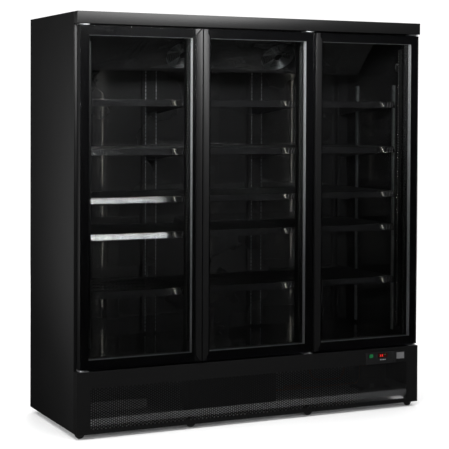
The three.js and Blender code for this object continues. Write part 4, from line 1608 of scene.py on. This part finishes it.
class MERCHANDISER_OT_controls(bpy.types.Operator):
    """Makes the control panel with its rocker, its display and its touch keys"""

    bl_idname = "merchandiser.controls"
    bl_label = "Controls"

    def execute(self, context):
        low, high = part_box("control_panel")
        front = low.y + 0.003

        def paint(face):
            centre = face.calc_center_median()
            if centre.y < front + 0.0008 and (centre.z < low.z + 0.0045 or centre.x > high.x - 0.0165):
                return 1
            return 0

        softened("control_panel", ("plastic", "grey_plastic"), width=0.0009,
                 paint=paint)
        joint = JOINTS["power_switch_rock"]
        softened("power_switch", ("green",), joint["child"], width=0.0007)

        window = Shape()
        window.box((0.6945, 0.7515), (front + 0.0004, front + 0.0019), (0.2715, 0.2925))
        attach(rounded(made("display_window", window.mesh("window"), ("window",), crease=0), 0.0003, 1),
               CABINET)
        digits = Shape()
        first, pitch, point, dot = 0.7065, 0.0060, 0.7168, 0.0012
        for i, digit in enumerate("3.5"):
            if digit == ".":
                digits.box((point, point + dot), (front, front + 0.0005), (0.2762, 0.2774))
            else:
                self.digit(digits, digit, first + i * pitch, front)
        fitted("display_digits", digits, ("digit",), 0)
        lamps = Shape()
        lamps.turned([(0.0011, 0), (0.0009, 0.0005), (0.0003, 0.0006)], (0.7365, front + 0.0004, 0.2850),
                     (0, -1, 0), sides=12)
        lamps.box((0.6835, 0.6860), (front - 0.0003, front + 0.0002), (0.2800, 0.2806))
        fitted("display_lamps", lamps, ("tell_tale",), 0)

        key = Shape()
        key.turned([(0.0030, 0), (0.0030, 0.0002), (0.0027, 0.0004)], (0, 0, 0), sides=16)
        count, key_pitch = 4, 0.0092
        keys = in_rows(loose(key), count, key_pitch)
        shape = Shape()
        shape.take(keys, Matrix.Translation((0.7230, front + 0.0001, 0.2600))
                   @ Matrix.Rotation(pi / 2, 4, "X"))
        fitted("touch_keys", shape, ("grey_plastic",), 30)
        label = Shape()
        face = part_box("grille_panel")[0].y
        label.box((0.807, 0.856), (face - 0.0003, face - 0.00002), (0.257, 0.290))
        fitted("blank_label", label, ("label",), 0)
        return {"FINISHED"}

    def digit(self, shape, figure, x, front):
        """A seven-bar figure, leaning a little."""
        width, height, bar = 0.0042, 0.0092, 0.0009
        foot = 0.2768
        places = {
            "a": ((0, width), (height - bar, height)), "d": ((0, width), (0, bar)),
            "g": ((0, width), ((height - bar) / 2, (height + bar) / 2)),
            "b": ((width - bar, width), (height / 2, height)), "c": ((width - bar, width), (0, height / 2)),
            "e": ((0, bar), (0, height / 2)), "f": ((0, bar), (height / 2, height)),
        }
        for name in SEGMENTS[figure]:
            (x0, x1), (z0, z1) = places[name]
            lean = 0.12
            rings = [[(x + px + lean * pz, y, foot + pz)
                      for px, pz in ((x0, z0), (x1, z0), (x1, z1), (x0, z1))]
                     for y in (front, front + 0.0005)]
            shape.skin(rings)


# ---- Castors -----------------------------------------------------------------------------------

class MERCHANDISER_OT_castors(bpy.types.Operator):
    """Makes the six swivel castors"""

    bl_idname = "merchandiser.castors"
    bl_label = "Castors"

    def execute(self, context):
        profile = [(0.0042, -0.0094), (0.0085, -0.0094), (0.0095, -0.0080), (0.0165, -0.0062),
                   (0.0178, -0.0070), (0.0215, -0.0078), (0.0238, -0.0066), (0.0247, -0.0040),
                   (0.0250, 0.0)]
        tyre_start = 4
        for name in CASTORS:
            yoke, wheel = f"castor_{name}_yoke", f"castor_{name}_wheel"
            softened(yoke, ("zinc",), f"castor_{name}_swivel", width=0.0006)
            joint = JOINTS[f"castor_{name}_wheel_spin"]
            half = profile + [(r, -h) for r, h in reversed(profile[:-1])]
            shape = Shape()
            scale = joint["pos_m"][2] / profile[-1][0]
            faces = shape.turned([(r * scale, h) for r, h in half], joint["pos_m"], joint["axis"],
                                 sides=40, loop=True)
            centre, axis = Vector(joint["pos_m"]), Vector(joint["axis"])
            for face in faces:
                out = face.calc_center_median() - centre
                out -= axis * out.dot(axis)
                face.material_index = 0 if out.length > profile[tyre_start][0] * scale else 1
            fitted(wheel + "_tyre", shape, ("tyre", "plastic"), 40, joint["child"],
                   (wheel,))
        return {"FINISHED"}


# ---- Panel and running -------------------------------------------------------------------------

STEPS = (
    MERCHANDISER_OT_stage, MERCHANDISER_OT_cabinet, MERCHANDISER_OT_grille, MERCHANDISER_OT_doors,
    MERCHANDISER_OT_shelves, MERCHANDISER_OT_fittings, MERCHANDISER_OT_evaporator,
    MERCHANDISER_OT_machinery, MERCHANDISER_OT_controls, MERCHANDISER_OT_castors,
)


class MERCHANDISER_PT_panel(bpy.types.Panel):
    """Lists the sizes, the colours and the steps that make the merchandiser"""

    bl_idname = "MERCHANDISER_PT_panel"
    bl_label = "Merchandiser"
    bl_space_type = "VIEW_3D"
    bl_region_type = "UI"
    bl_category = "Merchandiser"

    def draw(self, context):
        layout = self.layout
        for group in (context.scene.merchandiser_sizes, context.scene.merchandiser_colours):
            column = layout.column(align=True)
            for name in group.__annotations__:
                column.prop(group, name)
        for step in STEPS:
            layout.operator(step.bl_idname)


CLASSES = (MerchandiserSizes, MerchandiserColours, *STEPS, MERCHANDISER_PT_panel)


def register():
    for each in CLASSES:
        bpy.utils.register_class(each)
    bpy.types.Scene.merchandiser_sizes = PointerProperty(type=MerchandiserSizes)
    bpy.types.Scene.merchandiser_colours = PointerProperty(type=MerchandiserColours)


def unregister():
    del bpy.types.Scene.merchandiser_colours
    del bpy.types.Scene.merchandiser_sizes
    for each in reversed(CLASSES):
        bpy.utils.unregister_class(each)


def main():
    """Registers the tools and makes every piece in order."""
    register()
    for step in STEPS:
        group, name = step.bl_idname.split(".")
        getattr(getattr(bpy.ops, group), name)()


if __name__ == "__main__":
    main()
